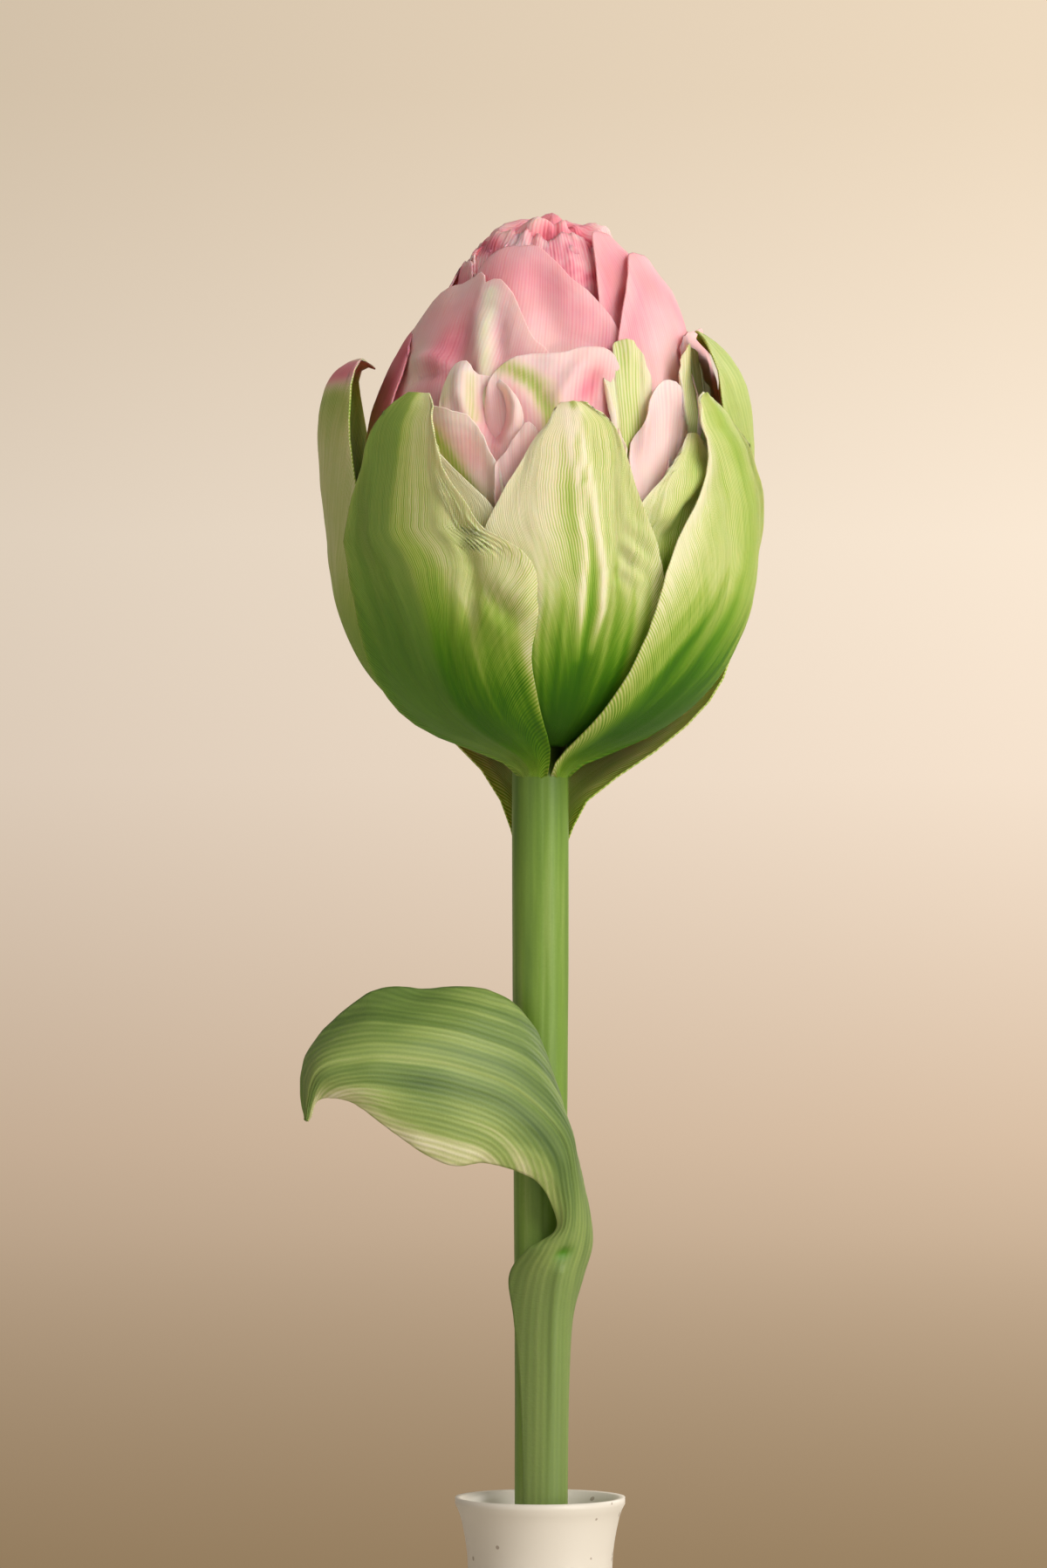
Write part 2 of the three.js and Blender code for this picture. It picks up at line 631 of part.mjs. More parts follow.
piece("vase", turned([...VASE_OUTSIDE, ...VASE_INSIDE], 36), STONEWARE, 0.55);
piece("water", turned(waterOutline(), 28), WATER_TINT, 0.05);
piece("stem", turned(STEM, 24), STEM_GREEN);
piece("leaf", blade(leafFace, 8, 26), LEAF_GREEN);
addPetal(BRACT_LEAF, TEPAL_GREEN, 8, 13);
for (const shape of TEPALS) addPetal({ profile: CUP, ...shape }, TEPAL_GREEN, 8, 12);
for (const { color, ...shape } of [...PETALS, ...BACK_PETALS.map(ovate)]) {
  addPetal(withClaw(shape), color, 6, 10);
}
const core = turned(CORE.map(([r, h]) => [r, BLOOM_BASE + h]), 20).warp((point) => {
  point[0] += leanAt(DOME, point[2] - BLOOM_BASE);
});
const heart = CROWN.reduce((whole, tip) => whole.add(blade(crownPetal(tip), 6, 4)), core);
piece("heart", clearOf(heart), HEART_PINK);

export default bloom;
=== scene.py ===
# Looks of a cut double tulip in a stoneware bottle vase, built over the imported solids.
# Lengths are millimetres in the part's frame until a mesh is made. Heights named h are above the
# bloom's base, and azimuths are degrees round the stem: 0 is the front (-Y), 90 the right (+X).
import math

import bpy
import numpy as np
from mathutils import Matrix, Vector


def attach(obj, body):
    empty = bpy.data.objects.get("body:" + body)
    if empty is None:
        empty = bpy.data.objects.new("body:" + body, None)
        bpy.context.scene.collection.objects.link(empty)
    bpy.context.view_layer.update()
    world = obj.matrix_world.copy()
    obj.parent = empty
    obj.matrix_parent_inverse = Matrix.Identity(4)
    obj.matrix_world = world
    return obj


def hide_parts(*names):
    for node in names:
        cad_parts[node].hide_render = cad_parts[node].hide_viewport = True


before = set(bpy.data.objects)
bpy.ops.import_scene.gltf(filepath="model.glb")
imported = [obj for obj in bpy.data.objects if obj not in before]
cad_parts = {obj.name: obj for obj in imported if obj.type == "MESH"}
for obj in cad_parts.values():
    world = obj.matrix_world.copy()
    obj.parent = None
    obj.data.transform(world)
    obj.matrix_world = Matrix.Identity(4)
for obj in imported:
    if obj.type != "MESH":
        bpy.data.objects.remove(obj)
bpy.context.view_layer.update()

MM = 0.001
GAP = 0.3  # between pieces that touch
AXIS = 0.01  # radius of a turned line's end on the axis
BLADE = 0.6  # thickness of a tepal, petal or leaf at its middle
BLOOM_BASE = 255
ROOT_RADIUS = 5.4  # where the bloom's profiles leave the stem
STEM_FOOT_RADIUS = 4.0
VASE_HEIGHT = 140
VASE_FLOOR = 5
WATER_LEVEL = 92

# The photograph's frame: 1200 by 1797 pixels, with the stem's axis at column 619 and the bloom's
# base at row 875. PX is how many of its pixels make a millimetre.
PX = 7.3
AXIS_COLUMN = 619
BASE_ROW = 875
IMAGE = (1200, 1797)
CAMERA_DISTANCE = 1200
SENSOR = 36


# Numbers

def spline(values, t):
    """Catmull-Rom curve through evenly spaced values, with t from 0 to 1."""
    values = np.asarray(values, float)
    last = len(values) - 1
    at = np.clip(t, 0, 1) * last
    i = np.minimum(at.astype(int), last - 1)
    f = at - i
    a = values[np.maximum(i - 1, 0)]
    b = values[i]
    c = values[i + 1]
    d = values[np.minimum(i + 2, last)]
    square = (2 * a - 5 * b + 4 * c - d) * f**2
    cube = (3 * b - a - 3 * c + d) * f**3
    return 0.5 * (2 * b + (c - a) * f + square + cube)


def smoothstep(x, low, high):
    t = np.clip((x - low) / (high - low), 0, 1)
    return t * t * (3 - 2 * t)


def lerp(a, b, t):
    return a + (b - a) * t


def bell(x, width):
    """A soft bump of unit height round zero."""
    return np.exp(-((x / width) ** 2))


def wander(x, y, seed, octaves=4):
    """Smooth noise of unit size and unit grain, as a sum of waves in random directions."""
    rng = np.random.default_rng(seed)
    total = np.zeros(np.broadcast(x, y).shape)
    for octave in range(octaves):
        for _ in range(5):
            angle, phase = rng.uniform(0, 2 * math.pi, 2)
            k = 2.2 * 1.8**octave * rng.uniform(0.7, 1.3)
            wave = np.sin(k * (x * math.cos(angle) + y * math.sin(angle)) + phase)
            total += wave / 1.7**octave
    return total / 4


def to_path(x, y, path):
    """Distance of points from a polyline, and how far along it the nearest place is, 0 to 1."""
    path = np.asarray(path, float)
    best = np.full(np.shape(x), np.inf)
    place = np.zeros(np.shape(x))
    steps = np.hypot(*np.diff(path, axis=0).T)
    done = 0
    for a, b, step in zip(path[:-1], path[1:], steps):
        along = ((x - a[0]) * (b[0] - a[0]) + (y - a[1]) * (b[1] - a[1])) / step**2
        along = np.clip(along, 0, 1)
        away = np.hypot(x - lerp(a[0], b[0], along), y - lerp(a[1], b[1], along))
        nearer = away < best
        best = np.where(nearer, away, best)
        place = np.where(nearer, (done + along * step) / steps.sum(), place)
        done += step
    return best, place


def streak(x, h, path, width):
    """A soft line of unit height along a path in the front view."""
    return bell(to_path(x, h, path)[0], width)


def ridge(x, h, path, width, height):
    """A smooth ridge along a path in the front view, fading at its ends. Negative is a crease."""
    away, place = to_path(x, h, path)
    ends = smoothstep(place, 0, 0.2) * (1 - smoothstep(place, 0.8, 1))
    return height * bell(away, width) * lerp(0.25, 1, ends)


def spot(x, h, centre, long, short, angle=0):
    """A soft oval of unit height in the front view, with its long axis at an angle in degrees."""
    c, s = math.cos(math.radians(angle)), math.sin(math.radians(angle))
    dx, dh = x - centre[0], h - centre[1]
    return bell(dx * c + dh * s, long) * bell(dh * c - dx * s, short)


# The bloom's profiles, as in the solids: radius against height

CUP = {
    "r": [ROOT_RADIUS, 5.5, 7.4, 11.5, 18, 23.6, 28.2, 31.2, 33.2, 34.2, 34.7, 35, 34.9, 33.6, 31.4,
          28.4, 24.5],
    "h": [-4, -1.6, 0.4, 2.2, 4.9, 8.6, 13.6, 18.9, 24.5, 31, 38, 45, 52, 58.5, 63, 66.5, 69.5],
    "lean": 0,
}
DOME = {
    "r": [ROOT_RADIUS, 7.5, 13.5, 19.5, 24, 27, 28.2, 27.8, 26, 23.2, 19, 14.5, 9.5, 4.5, 0.5],
    "h": [6.5, 7.5, 10, 14, 20.5, 30, 40, 50, 58, 65, 72, 78.3, 82.8, 85.4, 86.2],
    "lean": 1.5,
}
BRACT = {
    "r": [ROOT_RADIUS, 5.5, 5.9, 7.3, 10.5, 16, 22, 27.5, 32.5, 35.2, 36.4, 37, 36.7],
    "h": [-17, -13, -9.5, -6.2, -3, 0.6, 4.6, 9.5, 17, 25, 35, 46, 54],
    "lean": 0,
}
PROFILE_STEPS = np.linspace(0, 1, 600)
NUDGE = 0.004  # along a profile, to find its direction


def on_bloom(profile, h, az, depth):
    """Points at height h and azimuth az, set in by depth: upwards near the stem, inwards above."""
    where = np.interp(h, spline(profile["h"], PROFILE_STEPS), PROFILE_STEPS)
    t = np.clip(where, NUDGE, 1 - NUDGE)
    dr, dh = (spline(profile[k], t + NUDGE) - spline(profile[k], t - NUDGE) for k in ("r", "h"))
    length = np.hypot(dr, dh)
    r = spline(profile["r"], where)
    out = np.where(h < 12, smoothstep(r, 6, 10), 1)
    inward_r = -dh / length * out
    inward_h = 1 - out + dr / length * out
    radius = np.maximum(r + inward_r * depth, 0.2)
    lean = profile["lean"] * smoothstep(h, 55, 75)
    angle = np.radians(az)
    return np.stack(
        [radius * np.sin(angle) + lean, -radius * np.cos(angle), BLOOM_BASE + h + inward_h * depth],
        axis=-1,
    )


# Meshes

def rows_of(grid):
    return grid.reshape(-1, grid.shape[-1])


def normals_of(grid):
    n = np.cross(np.gradient(grid, axis=1), np.gradient(grid, axis=0))
    return n / np.maximum(np.linalg.norm(n, axis=-1, keepdims=True), 1e-9)


def new_object(name, points, faces, shape=None, veins=None, mask=None):
    """A smooth mesh object from millimetre points. Its maps and mask hold one row per point."""
    mesh = bpy.data.meshes.new(name)
    mesh.from_pydata((points * MM).tolist(), [], faces)
    mesh.polygons.foreach_set("use_smooth", [True] * len(mesh.polygons))
    corners = np.zeros(len(mesh.loops), int)
    mesh.loops.foreach_get("vertex_index", corners)
    for label, uv in (("shape", shape), ("veins", veins)):
        if uv is not None:
            layer = mesh.uv_layers.new(name=label)
            layer.data.foreach_set("uv", uv[corners].astype(np.float32).ravel())
    if mask is not None:
        attribute = mesh.attributes.new("mask", "FLOAT_COLOR", "POINT")
        attribute.data.foreach_set("color", mask.astype(np.float32).ravel())
    mesh.update()
    made = bpy.data.objects.new(name, mesh)
    bpy.context.scene.collection.objects.link(made)
    return made


def slab_faces(rows, columns):
    """Faces of a closed slab: an outer grid, an inner grid behind it, and the rim between."""
    count = rows * columns
    ids = np.arange(count).reshape(rows, columns)
    a, b, c, d = ids[:-1, :-1], ids[:-1, 1:], ids[1:, 1:], ids[1:, :-1]
    outer = np.stack([a, b, c, d], -1).reshape(-1, 4)
    inner = outer[:, ::-1] + count
    rim = np.concatenate([ids[0, :-1], ids[:-1, -1], ids[-1, :0:-1], ids[:0:-1, 0]])
    after = np.roll(rim, -1)
    edge = np.stack([after, rim, rim + count, after + count], -1)
    return np.concatenate([outer, inner, edge]).tolist()


def slab(outer, inner, u, v, veins, outside, inside):
    """A closed slab between two grids: its points, faces, two maps and mask."""
    def both(first, second):
        return np.concatenate([rows_of(first), rows_of(second)])

    spread = np.stack([u / 2 + 0.5, v], -1)
    maps = both(spread, spread), both(veins, veins)
    return both(outer, inner), slab_faces(*v.shape), *maps, both(outside, inside)


def slab_grid(rows, columns):
    """u across a slab, from -1 to 1, and v up it, from 0 to 1."""
    v, u = np.meshgrid(np.linspace(0, 1, rows), np.linspace(-1, 1, columns), indexing="ij")
    return u, v


def turned_grid(profile, segments):
    """Points of a surface of revolution about the stem's axis."""
    angle = np.linspace(0, 2 * math.pi, segments, endpoint=False)
    r, z = np.array(profile, float).T
    return np.stack(
        [np.outer(r, np.sin(angle)), np.outer(r, -np.cos(angle)), np.outer(z, np.ones(segments))],
        axis=-1,
    )


def turned_faces(rows, segments, ends="capped"):
    """Faces of a turned grid: capped at both ends, joined end to end, or open at its last ring."""
    ids = np.arange(rows * segments).reshape(rows, segments)
    if ends == "joined":
        ids = np.concatenate([ids, ids[:1]])
    after = np.roll(ids, -1, axis=1)
    faces = np.stack([ids[:-1], after[:-1], after[1:], ids[1:]], -1).reshape(-1, 4).tolist()
    if ends != "joined":
        faces.append(ids[0, ::-1].tolist())
    if ends == "capped":
        faces.append(ids[-1].tolist())
    return faces


def rounded(points, steps):
    """A smooth line through profile points."""
    points = np.array(points, float)
    t = np.linspace(0, 1, (len(points) - 1) * steps + 1)
    return np.stack([spline(points[:, 0], t), spline(points[:, 1], t)], -1)


def fine_line(points, spacing):
    """A polyline smoothed by a curve and cut into even steps."""
    smooth = rounded(points, 12)
    along = np.concatenate([[0], np.cumsum(np.hypot(*np.diff(smooth, axis=0).T))])
    even = np.linspace(0, along[-1], max(int(along[-1] / spacing), 8))
    return np.stack([np.interp(even, along, smooth[:, k]) for k in (0, 1)], -1)


# Petals and tepals. Each is a fan of columns that leave the stem side by side and end along its
# margin, as its veins do. u is the column, from -1 to 1, and v the share of its way to the margin.
# Its table gives, at the heights in rise, the azimuths of its left and right margins and its
# depth behind the profile. A table with an outline has only its claw's first azimuths in left and
# right. PLAIN is what a table may leave out: midrib is where the midrib lies between the margins,
# hug how far the right side is set in, rumple and crumple the large and small unevenness, curl
# and wave how the rim turns, keel the ridge on the midrib, arch how far the tip's middle rises,
# and packed how close the veins are.

PLAIN = {
    "profile": DOME, "midrib": [0, 0], "hug": [0, 0], "rumple": 0.4, "crumple": 0.06, "curl": 0.3,
    "wave": 0.35, "keel": 0.25, "arch": 0, "packed": 1, "ridges": [], "spots": [],
}
TABLE_STEPS = np.linspace(0, 1, 400)
FAN_CORE = 0.14  # share of the columns that end at the tip
FAN_FOOT = 0.36  # share of the foot's width that the columns take there
MM_PER_DEGREE = 0.4  # round the bloom, roughly


def rise_of(shape):
    return np.maximum.accumulate(spline(shape["rise"], TABLE_STEPS)) + TABLE_STEPS * 1e-6


def by_height(shape, key, h, uneven=0):
    """A row of the shape's table, made uneven, at heights h."""
    return np.interp(h, rise_of(shape), spline(shape[key], TABLE_STEPS) + uneven)


def margin_fan(shape, u, v):
    """Columns between two margins, given as azimuths at the heights in rise."""
    foot, tip = rise_of(shape)[[0, -1]]
    side = np.abs(u)
    past_core = np.clip((side - FAN_CORE) / (1 - FAN_CORE), 0, 1)
    end = tip - 0.97 * (tip - foot) * past_core**1.25
    h = lerp(foot, end, v)
    stop = 0.5 + 0.5 * np.sign(u) * np.clip(side / FAN_CORE, 0, 1)
    w = lerp(0.5 + 0.5 * FAN_FOOT * u, stop, v**2)
    middle = (by_height(shape, "midrib", h) + 1) / 2
    at = np.where(w < 0.5, 2 * w * middle, middle + (2 * w - 1) * (1 - middle))
    edge = shape.get("edge", 0.5) * smoothstep(TABLE_STEPS, 0.15, 0.5)
    left, right = (
        by_height(shape, key, h, edge * wander(TABLE_STEPS * 22, start, shape["seed"] + add))
        for key, start, add in (("left", 0, 1), ("right", 3, 2))
    )
    az = lerp(left, right, at)
    depth = by_height(shape, "depth", h) + by_height(shape, "hug", h) * at**2
    up = (h - foot) / (tip - foot)
    h = h + shape["arch"] * (1 - (2 * at - 1) ** 2) * up**3
    return az, h, depth, 2 * at - 1, up, 2 * (at - middle)


def outline_fan(shape, u, v):
    """Columns from a claw to points along an outline of [azimuth, height]."""
    outline = rounded(shape["outline"], 10)
    steps = np.hypot(*(np.diff(outline, axis=0) * (MM_PER_DEGREE, 1)).T)
    along = np.concatenate([[0], np.cumsum(steps)]) / steps.sum()
    share = (u + 1) / 2
    end_az, end_h = (np.interp(share, along, line) for line in outline.T)
    end_h = end_h + shape.get("edge", 0.3) * wander(u * 9, 0 * u, shape["seed"] + 1)
    start = lerp(shape["left"][0], shape["right"][0], share)
    h = lerp(shape["rise"][0], end_h, v)
    return lerp(start, end_az, v**1.3), h, by_height(shape, "depth", h), u, v, u


def blade_grid(shape, u, v):
    """Outer surface of a blade with its relief, and the place of its points for their paint."""
    fan = outline_fan if "outline" in shape else margin_fan
    az, h, depth, across, up, side = fan(shape, u, v)
    flat = on_bloom(shape["profile"], h, az, depth)
    x, height = flat[..., 0], flat[..., 2] - BLOOM_BASE
    seed = shape["seed"]
    free = smoothstep(up, 0.2, 0.5)
    relief = shape["rumple"] * wander(u * 1.6, v * 2.4, seed) * free
    relief += shape["crumple"] * wander(x * 0.45, height * 0.45, seed + 3) * free
    rim = smoothstep(v, 0.82, 1) ** 1.6
    relief += rim * (shape["curl"] + shape["wave"] * wander(u * 7, 0 * u, seed + 4))
    relief += shape["keel"] * bell(side, 0.1) * smoothstep(up, 0, 0.2) * (1 - up)
    relief += sum(ridge(x, height, *parts) for parts in shape["ridges"])
    relief += sum(high * spot(x, height, *parts) for high, *parts in shape["spots"])
    if "relief" in shape:
        relief += shape["relief"](x, height, across, up)
    points = on_bloom(shape["profile"], h, az, depth - relief)
    foot = shape["rise"][0]
    tuck = 1.15 * (1 - smoothstep(h, foot, foot + shape.get("merge", 0.01)))
    radius = np.hypot(points[..., 0], points[..., 1])
    points[..., :2] *= (1 - tuck / radius)[..., None]
    return points, x, height, across, up, side


def add_blade(shape, slot, columns, rows):
    """One tepal or petal: a thin closed blade that stands for the solid of the same name."""
    shape = {**PLAIN, **shape}
    u, v = slab_grid(rows, columns)
    v = 1 - (1 - v) ** 1.25
    outer, x, h, across, up, side = blade_grid(shape, u, v)
    thin = 1 - 0.55 * smoothstep(v, 0.7, 1)
    inner = outer - normals_of(outer) * (BLADE * thin)[..., None]
    along = np.linalg.norm(np.diff(outer, axis=0), axis=-1)
    length = np.concatenate([np.zeros((1, columns)), np.cumsum(along, axis=0)])
    half = 0.5 * np.linalg.norm(np.diff(outer, axis=1), axis=-1).sum(1).max()
    width = u * half * shape["packed"] + 0.4 * wander(u * 4, v * 1.2, shape["seed"] + 5)
    paler = (1 - 0.2 * smoothstep(v, 0.93, 1) * smoothstep(up, 0.06, 0.22))[..., None]
    outside = shape["paint"](x, h, across, up, side) * paler
    inside = shape.get("inside", shape["paint"])(x, h, across, up, side) * paler
    if "merge" in shape:
        foot = shape["rise"][0]
        outside[..., 0] *= lerp(0.62, 1, smoothstep(h, foot, foot + 9))
    veins = np.stack([width, length], -1)
    parts = slab(outer, inner, u, v, veins, outside, inside)
    dress(new_object(shape["name"] + "_fine", *parts), shape["name"], slot)


# Paint: how green, pink, grey-green and dry each point is, from 0 to 1. x and h are the front
# view's, u runs across the blade, v goes up it, and side is how far right of its midrib it is.

def masks(green, pink=0.0, grey=0.0, dry=0.0):
    return np.stack([np.clip(p, 0, 1) for p in np.broadcast_arrays(green, pink, grey, dry)], -1)


def rising_green(side, h, high, seed):
    """Full green below, that thins out upwards in uneven streaks."""
    return 1 - smoothstep(h + 5 * wander(side * 11, h * 0.03, seed, 3), 8, high)


def paint_tepal(body=0.3, fade=(12, 40), rib=0.3, blush=0.0):
    """Green that rises from the base, follows the midrib and thins to cream at the margins."""
    def paint(x, h, u, v, side):
        green = body * (1 - 0.5 * np.abs(u) ** 3) + rib * bell(side, 0.3) * (1 - 0.5 * v)
        green = lerp(green, 1, 1 - smoothstep(h, *fade))
        return masks(green, blush * smoothstep(v, 0.6, 1))
    return paint


def paint_front_left(x, h, u, v, side):
    """Grey-green outside its midrib, cream with fine veins inside it, and vivid green low down."""
    outside = 1 - smoothstep(side, -0.1, 0.07)
    low = rising_green(side, h + 9 * side, 34, 71)
    inside = 0.27 + 0.24 * bell(side - 0.12, 0.14) * (1 - 0.6 * v)
    inside += 0.12 * spot(x, h, (-6.5, 21), 6, 3, 25) - 0.06 * smoothstep(side, 0.5, 0.95)
    inside = lerp(inside, 1, 0.92 * low)
    return masks(lerp(inside, 0.56 + 0.3 * low, outside), 0, outside * (0.7 - 0.35 * low))


STRIPES = [
    [(4.1, 53.5), (6.1, 41.3), (6.8, 31.2), (6.3, 23.3), (5.6, 16)],
    [(5.4, 53.5), (8.2, 39.2), (9.7, 29.2), (9.4, 23.3), (7.7, 17.2)],
]


def paint_front_centre(x, h, u, v, side):
    """Deep green at the base, warm cream above, and two pale stripes beside a green midrib."""
    low = rising_green(side, h + 6 * np.abs(side), 33, 72)
    rib = 0.46 * bell(side, 0.24) * (1 - 0.25 * v)
    green = lerp(0.15 + rib + 0.1 * smoothstep(side, 0.15, 0.5), 1, low)
    stripe = np.maximum(*(streak(x, h, path, 0.8) for path in STRIPES)) * smoothstep(h, 12, 26)
    warm = 0.12 * (1 - smoothstep(side, -0.25, 0.1)) * smoothstep(h, 28, 40)
    return masks(green * (1 - 0.93 * stripe), warm)


def paint_front_right(x, h, u, v, side):
    """A vivid green band low down, light green veins over it and a pale near margin."""
    low = rising_green(side, h + 4 * side, 30, 73)
    green = lerp(0.33 + 0.14 * bell(side, 0.3), 1, low)
    pale = 0.6 * smoothstep(-u, 0.5, 0.95)
    return masks(green * (1 - pale), 0, 0.15 * smoothstep(side, 0.2, 0.6))


def paint_left(x, h, u, v, side):
    """Dull green outside, with a rosy dry patch where its tip curls in."""
    green = 0.26 + 0.4 * (1 - smoothstep(h, 12, 36)) + 0.2 * smoothstep(h, 48, 60)
    band = smoothstep(v, 0.86, 0.92) * (1 - 0.8 * smoothstep(v, 0.95, 1))
    return masks(green * (1 - band), 0.8 * band, 0.3 * (1 - band), 0.12 * band)


def paint_left_inside(x, h, u, v, side):
    """Shaded green with a rosy tip."""
    tip = smoothstep(v, 0.9, 0.97)
    return masks(0.62 * (1 - tip), 0.9 * tip, 0.3)


def paint_right(x, h, u, v, side):
    """Cream yellow-green, greener towards the base."""
    return masks(0.36 + 0.44 * (1 - smoothstep(h, 18, 48)), 0, 0.12)


def paint_right_inside(x, h, u, v, side):
    """Green inside with a brown dry patch near its upper near margin."""
    return masks(0.66, 0, 0.2, 0.9 * spot(x, h, (27.6, 58.5), 4.5, 2, 80))


def paint_bract(x, h, u, v, side):
    return masks(0.42, 0, 0.4)


def paint_bract_inside(x, h, u, v, side):
    """Pale green inside, greener at its rims and where it leaves the stem."""
    low = 1 - smoothstep(h, -9, 3)
    return masks(0.3 + 0.16 * low + 0.15 * smoothstep(np.abs(u), 0.85, 1))


def paint_pink(depth, top, pale_claw=0.3):
    """Pink that deepens towards the top edge and pales to cream-green at the claw."""
    def paint(x, h, u, v, side):
        claw = 1 - smoothstep(v, 0.35, 0.8)
        return masks(pale_claw * claw, depth + top * smoothstep(v, 0.75, 1) - 0.2 * claw)
    return paint


def paint_cream(rib):
    """Cream petal with a green midrib and veins, and a little pink at its margins."""
    def paint(x, h, u, v, side):
        green = 0.08 + rib * bell(side, 0.24) * (1 - 0.3 * v)
        green += 0.16 * (1 - smoothstep(h, 40, 54))
        return masks(green, 0.06 + 0.3 * smoothstep(np.abs(side), 0.3, 0.8))
    return paint


def paint_low_centre(x, h, u, v, side):
    """Pink with a yellow-green streak that comes down from its upper left."""
    green = 0.34 * streak(x, h, [(-7.5, 61.5), (-4, 60.5), (-0.5, 57.5), (1.2, 53.5), (2, 49)], 1.3)
    green += 0.12 * streak(x, h, [(-2, 60.5), (1.8, 58), (2.6, 54), (2.6, 50)], 0.9)
    fold = 0.25 * spot(x, h, (7.5, 58), 3.4, 1.3, 60) + 0.12 * spot(x, h, (11, 55), 3, 3)
    return masks(green, 0.48 + 1.3 * fold)


def paint_left_ribbed(x, h, u, v, side):
    """Pink with a pale green rib, deeper where it folds, paler where its left edge rolls."""
    pale = streak(x, h, [(-7.4, 73), (-8.4, 67), (-8.2, 60), (-8, 52)], 1)
    rolled = spot(x, h, (-20.3, 61), 5, 1.8, 70)
    pink = 0.56 + 0.24 * spot(x, h, (-14.5, 64), 6, 2.5, 60) - 0.45 * pale - 0.25 * rolled
    return masks(0.12 * pale + 0.06 * rolled, pink)


def paint_fold(x, h, u, v, side):
    """Pink flap with a green-cream streak up its outer side and a pale rolled rim."""
    claw = 1 - smoothstep(h, 38, 47)
    green = 0.34 * streak(x, h, [(-16.6, 51), (-13.5, 46), (-10.5, 41), (-8, 36)], 1.5)
    return masks(green + 0.12 * claw, 0.46 - 0.25 * claw - 0.16 * smoothstep(v, 0.88, 1))


def paint_trough(x, h, u, v, side):
    """Pale rolled rims round a rosy hollow, with a green line at the far side of the hollow."""
    green = 0.22 * streak(x, h, [(-10.6, 59.5), (-11, 56), (-10.4, 53)], 0.8)
    green += 0.2 * spot(x, h, (-14.6, 57.5), 4, 1.2, 75)
    return masks(green, 0.3 + 0.42 * spot(x, h, (-7.8, 54), 6, 2.6, 100))


# Reliefs that a table's ridges [path, width, height] and spots [height, centre, long, short,
# angle] don't give, in the front view's x and h

PLEATS = [
    ([(-12.2 - 0.6 * k, 32.4 + 1.7 * k), (-7.6 - 1.5 * k, 33.6 + 1.9 * k)], 0.85, 0.8 - 0.07 * k)
    for k in range(6)
]


def relief_front_centre(x, h, u, v):
    """Crumples at the right margin."""
    return 0.55 * spot(x, h, (14.6, 32), 4.5, 2.2, 75) * np.sin(1.1 * x + 1.7 * h)


def relief_front_right(x, h, u, v):
    """A rolled near margin."""
    return 0.5 * smoothstep(-u, 0.8, 1) * smoothstep(v, 0.2, 0.5)


def relief_trough(x, h, u, v):
    """A flat-bottomed hollow."""
    return -2.6 * bell(((h - 54.5) / 7) ** 2 + ((x + 7.9) / 3.1) ** 2, 1)


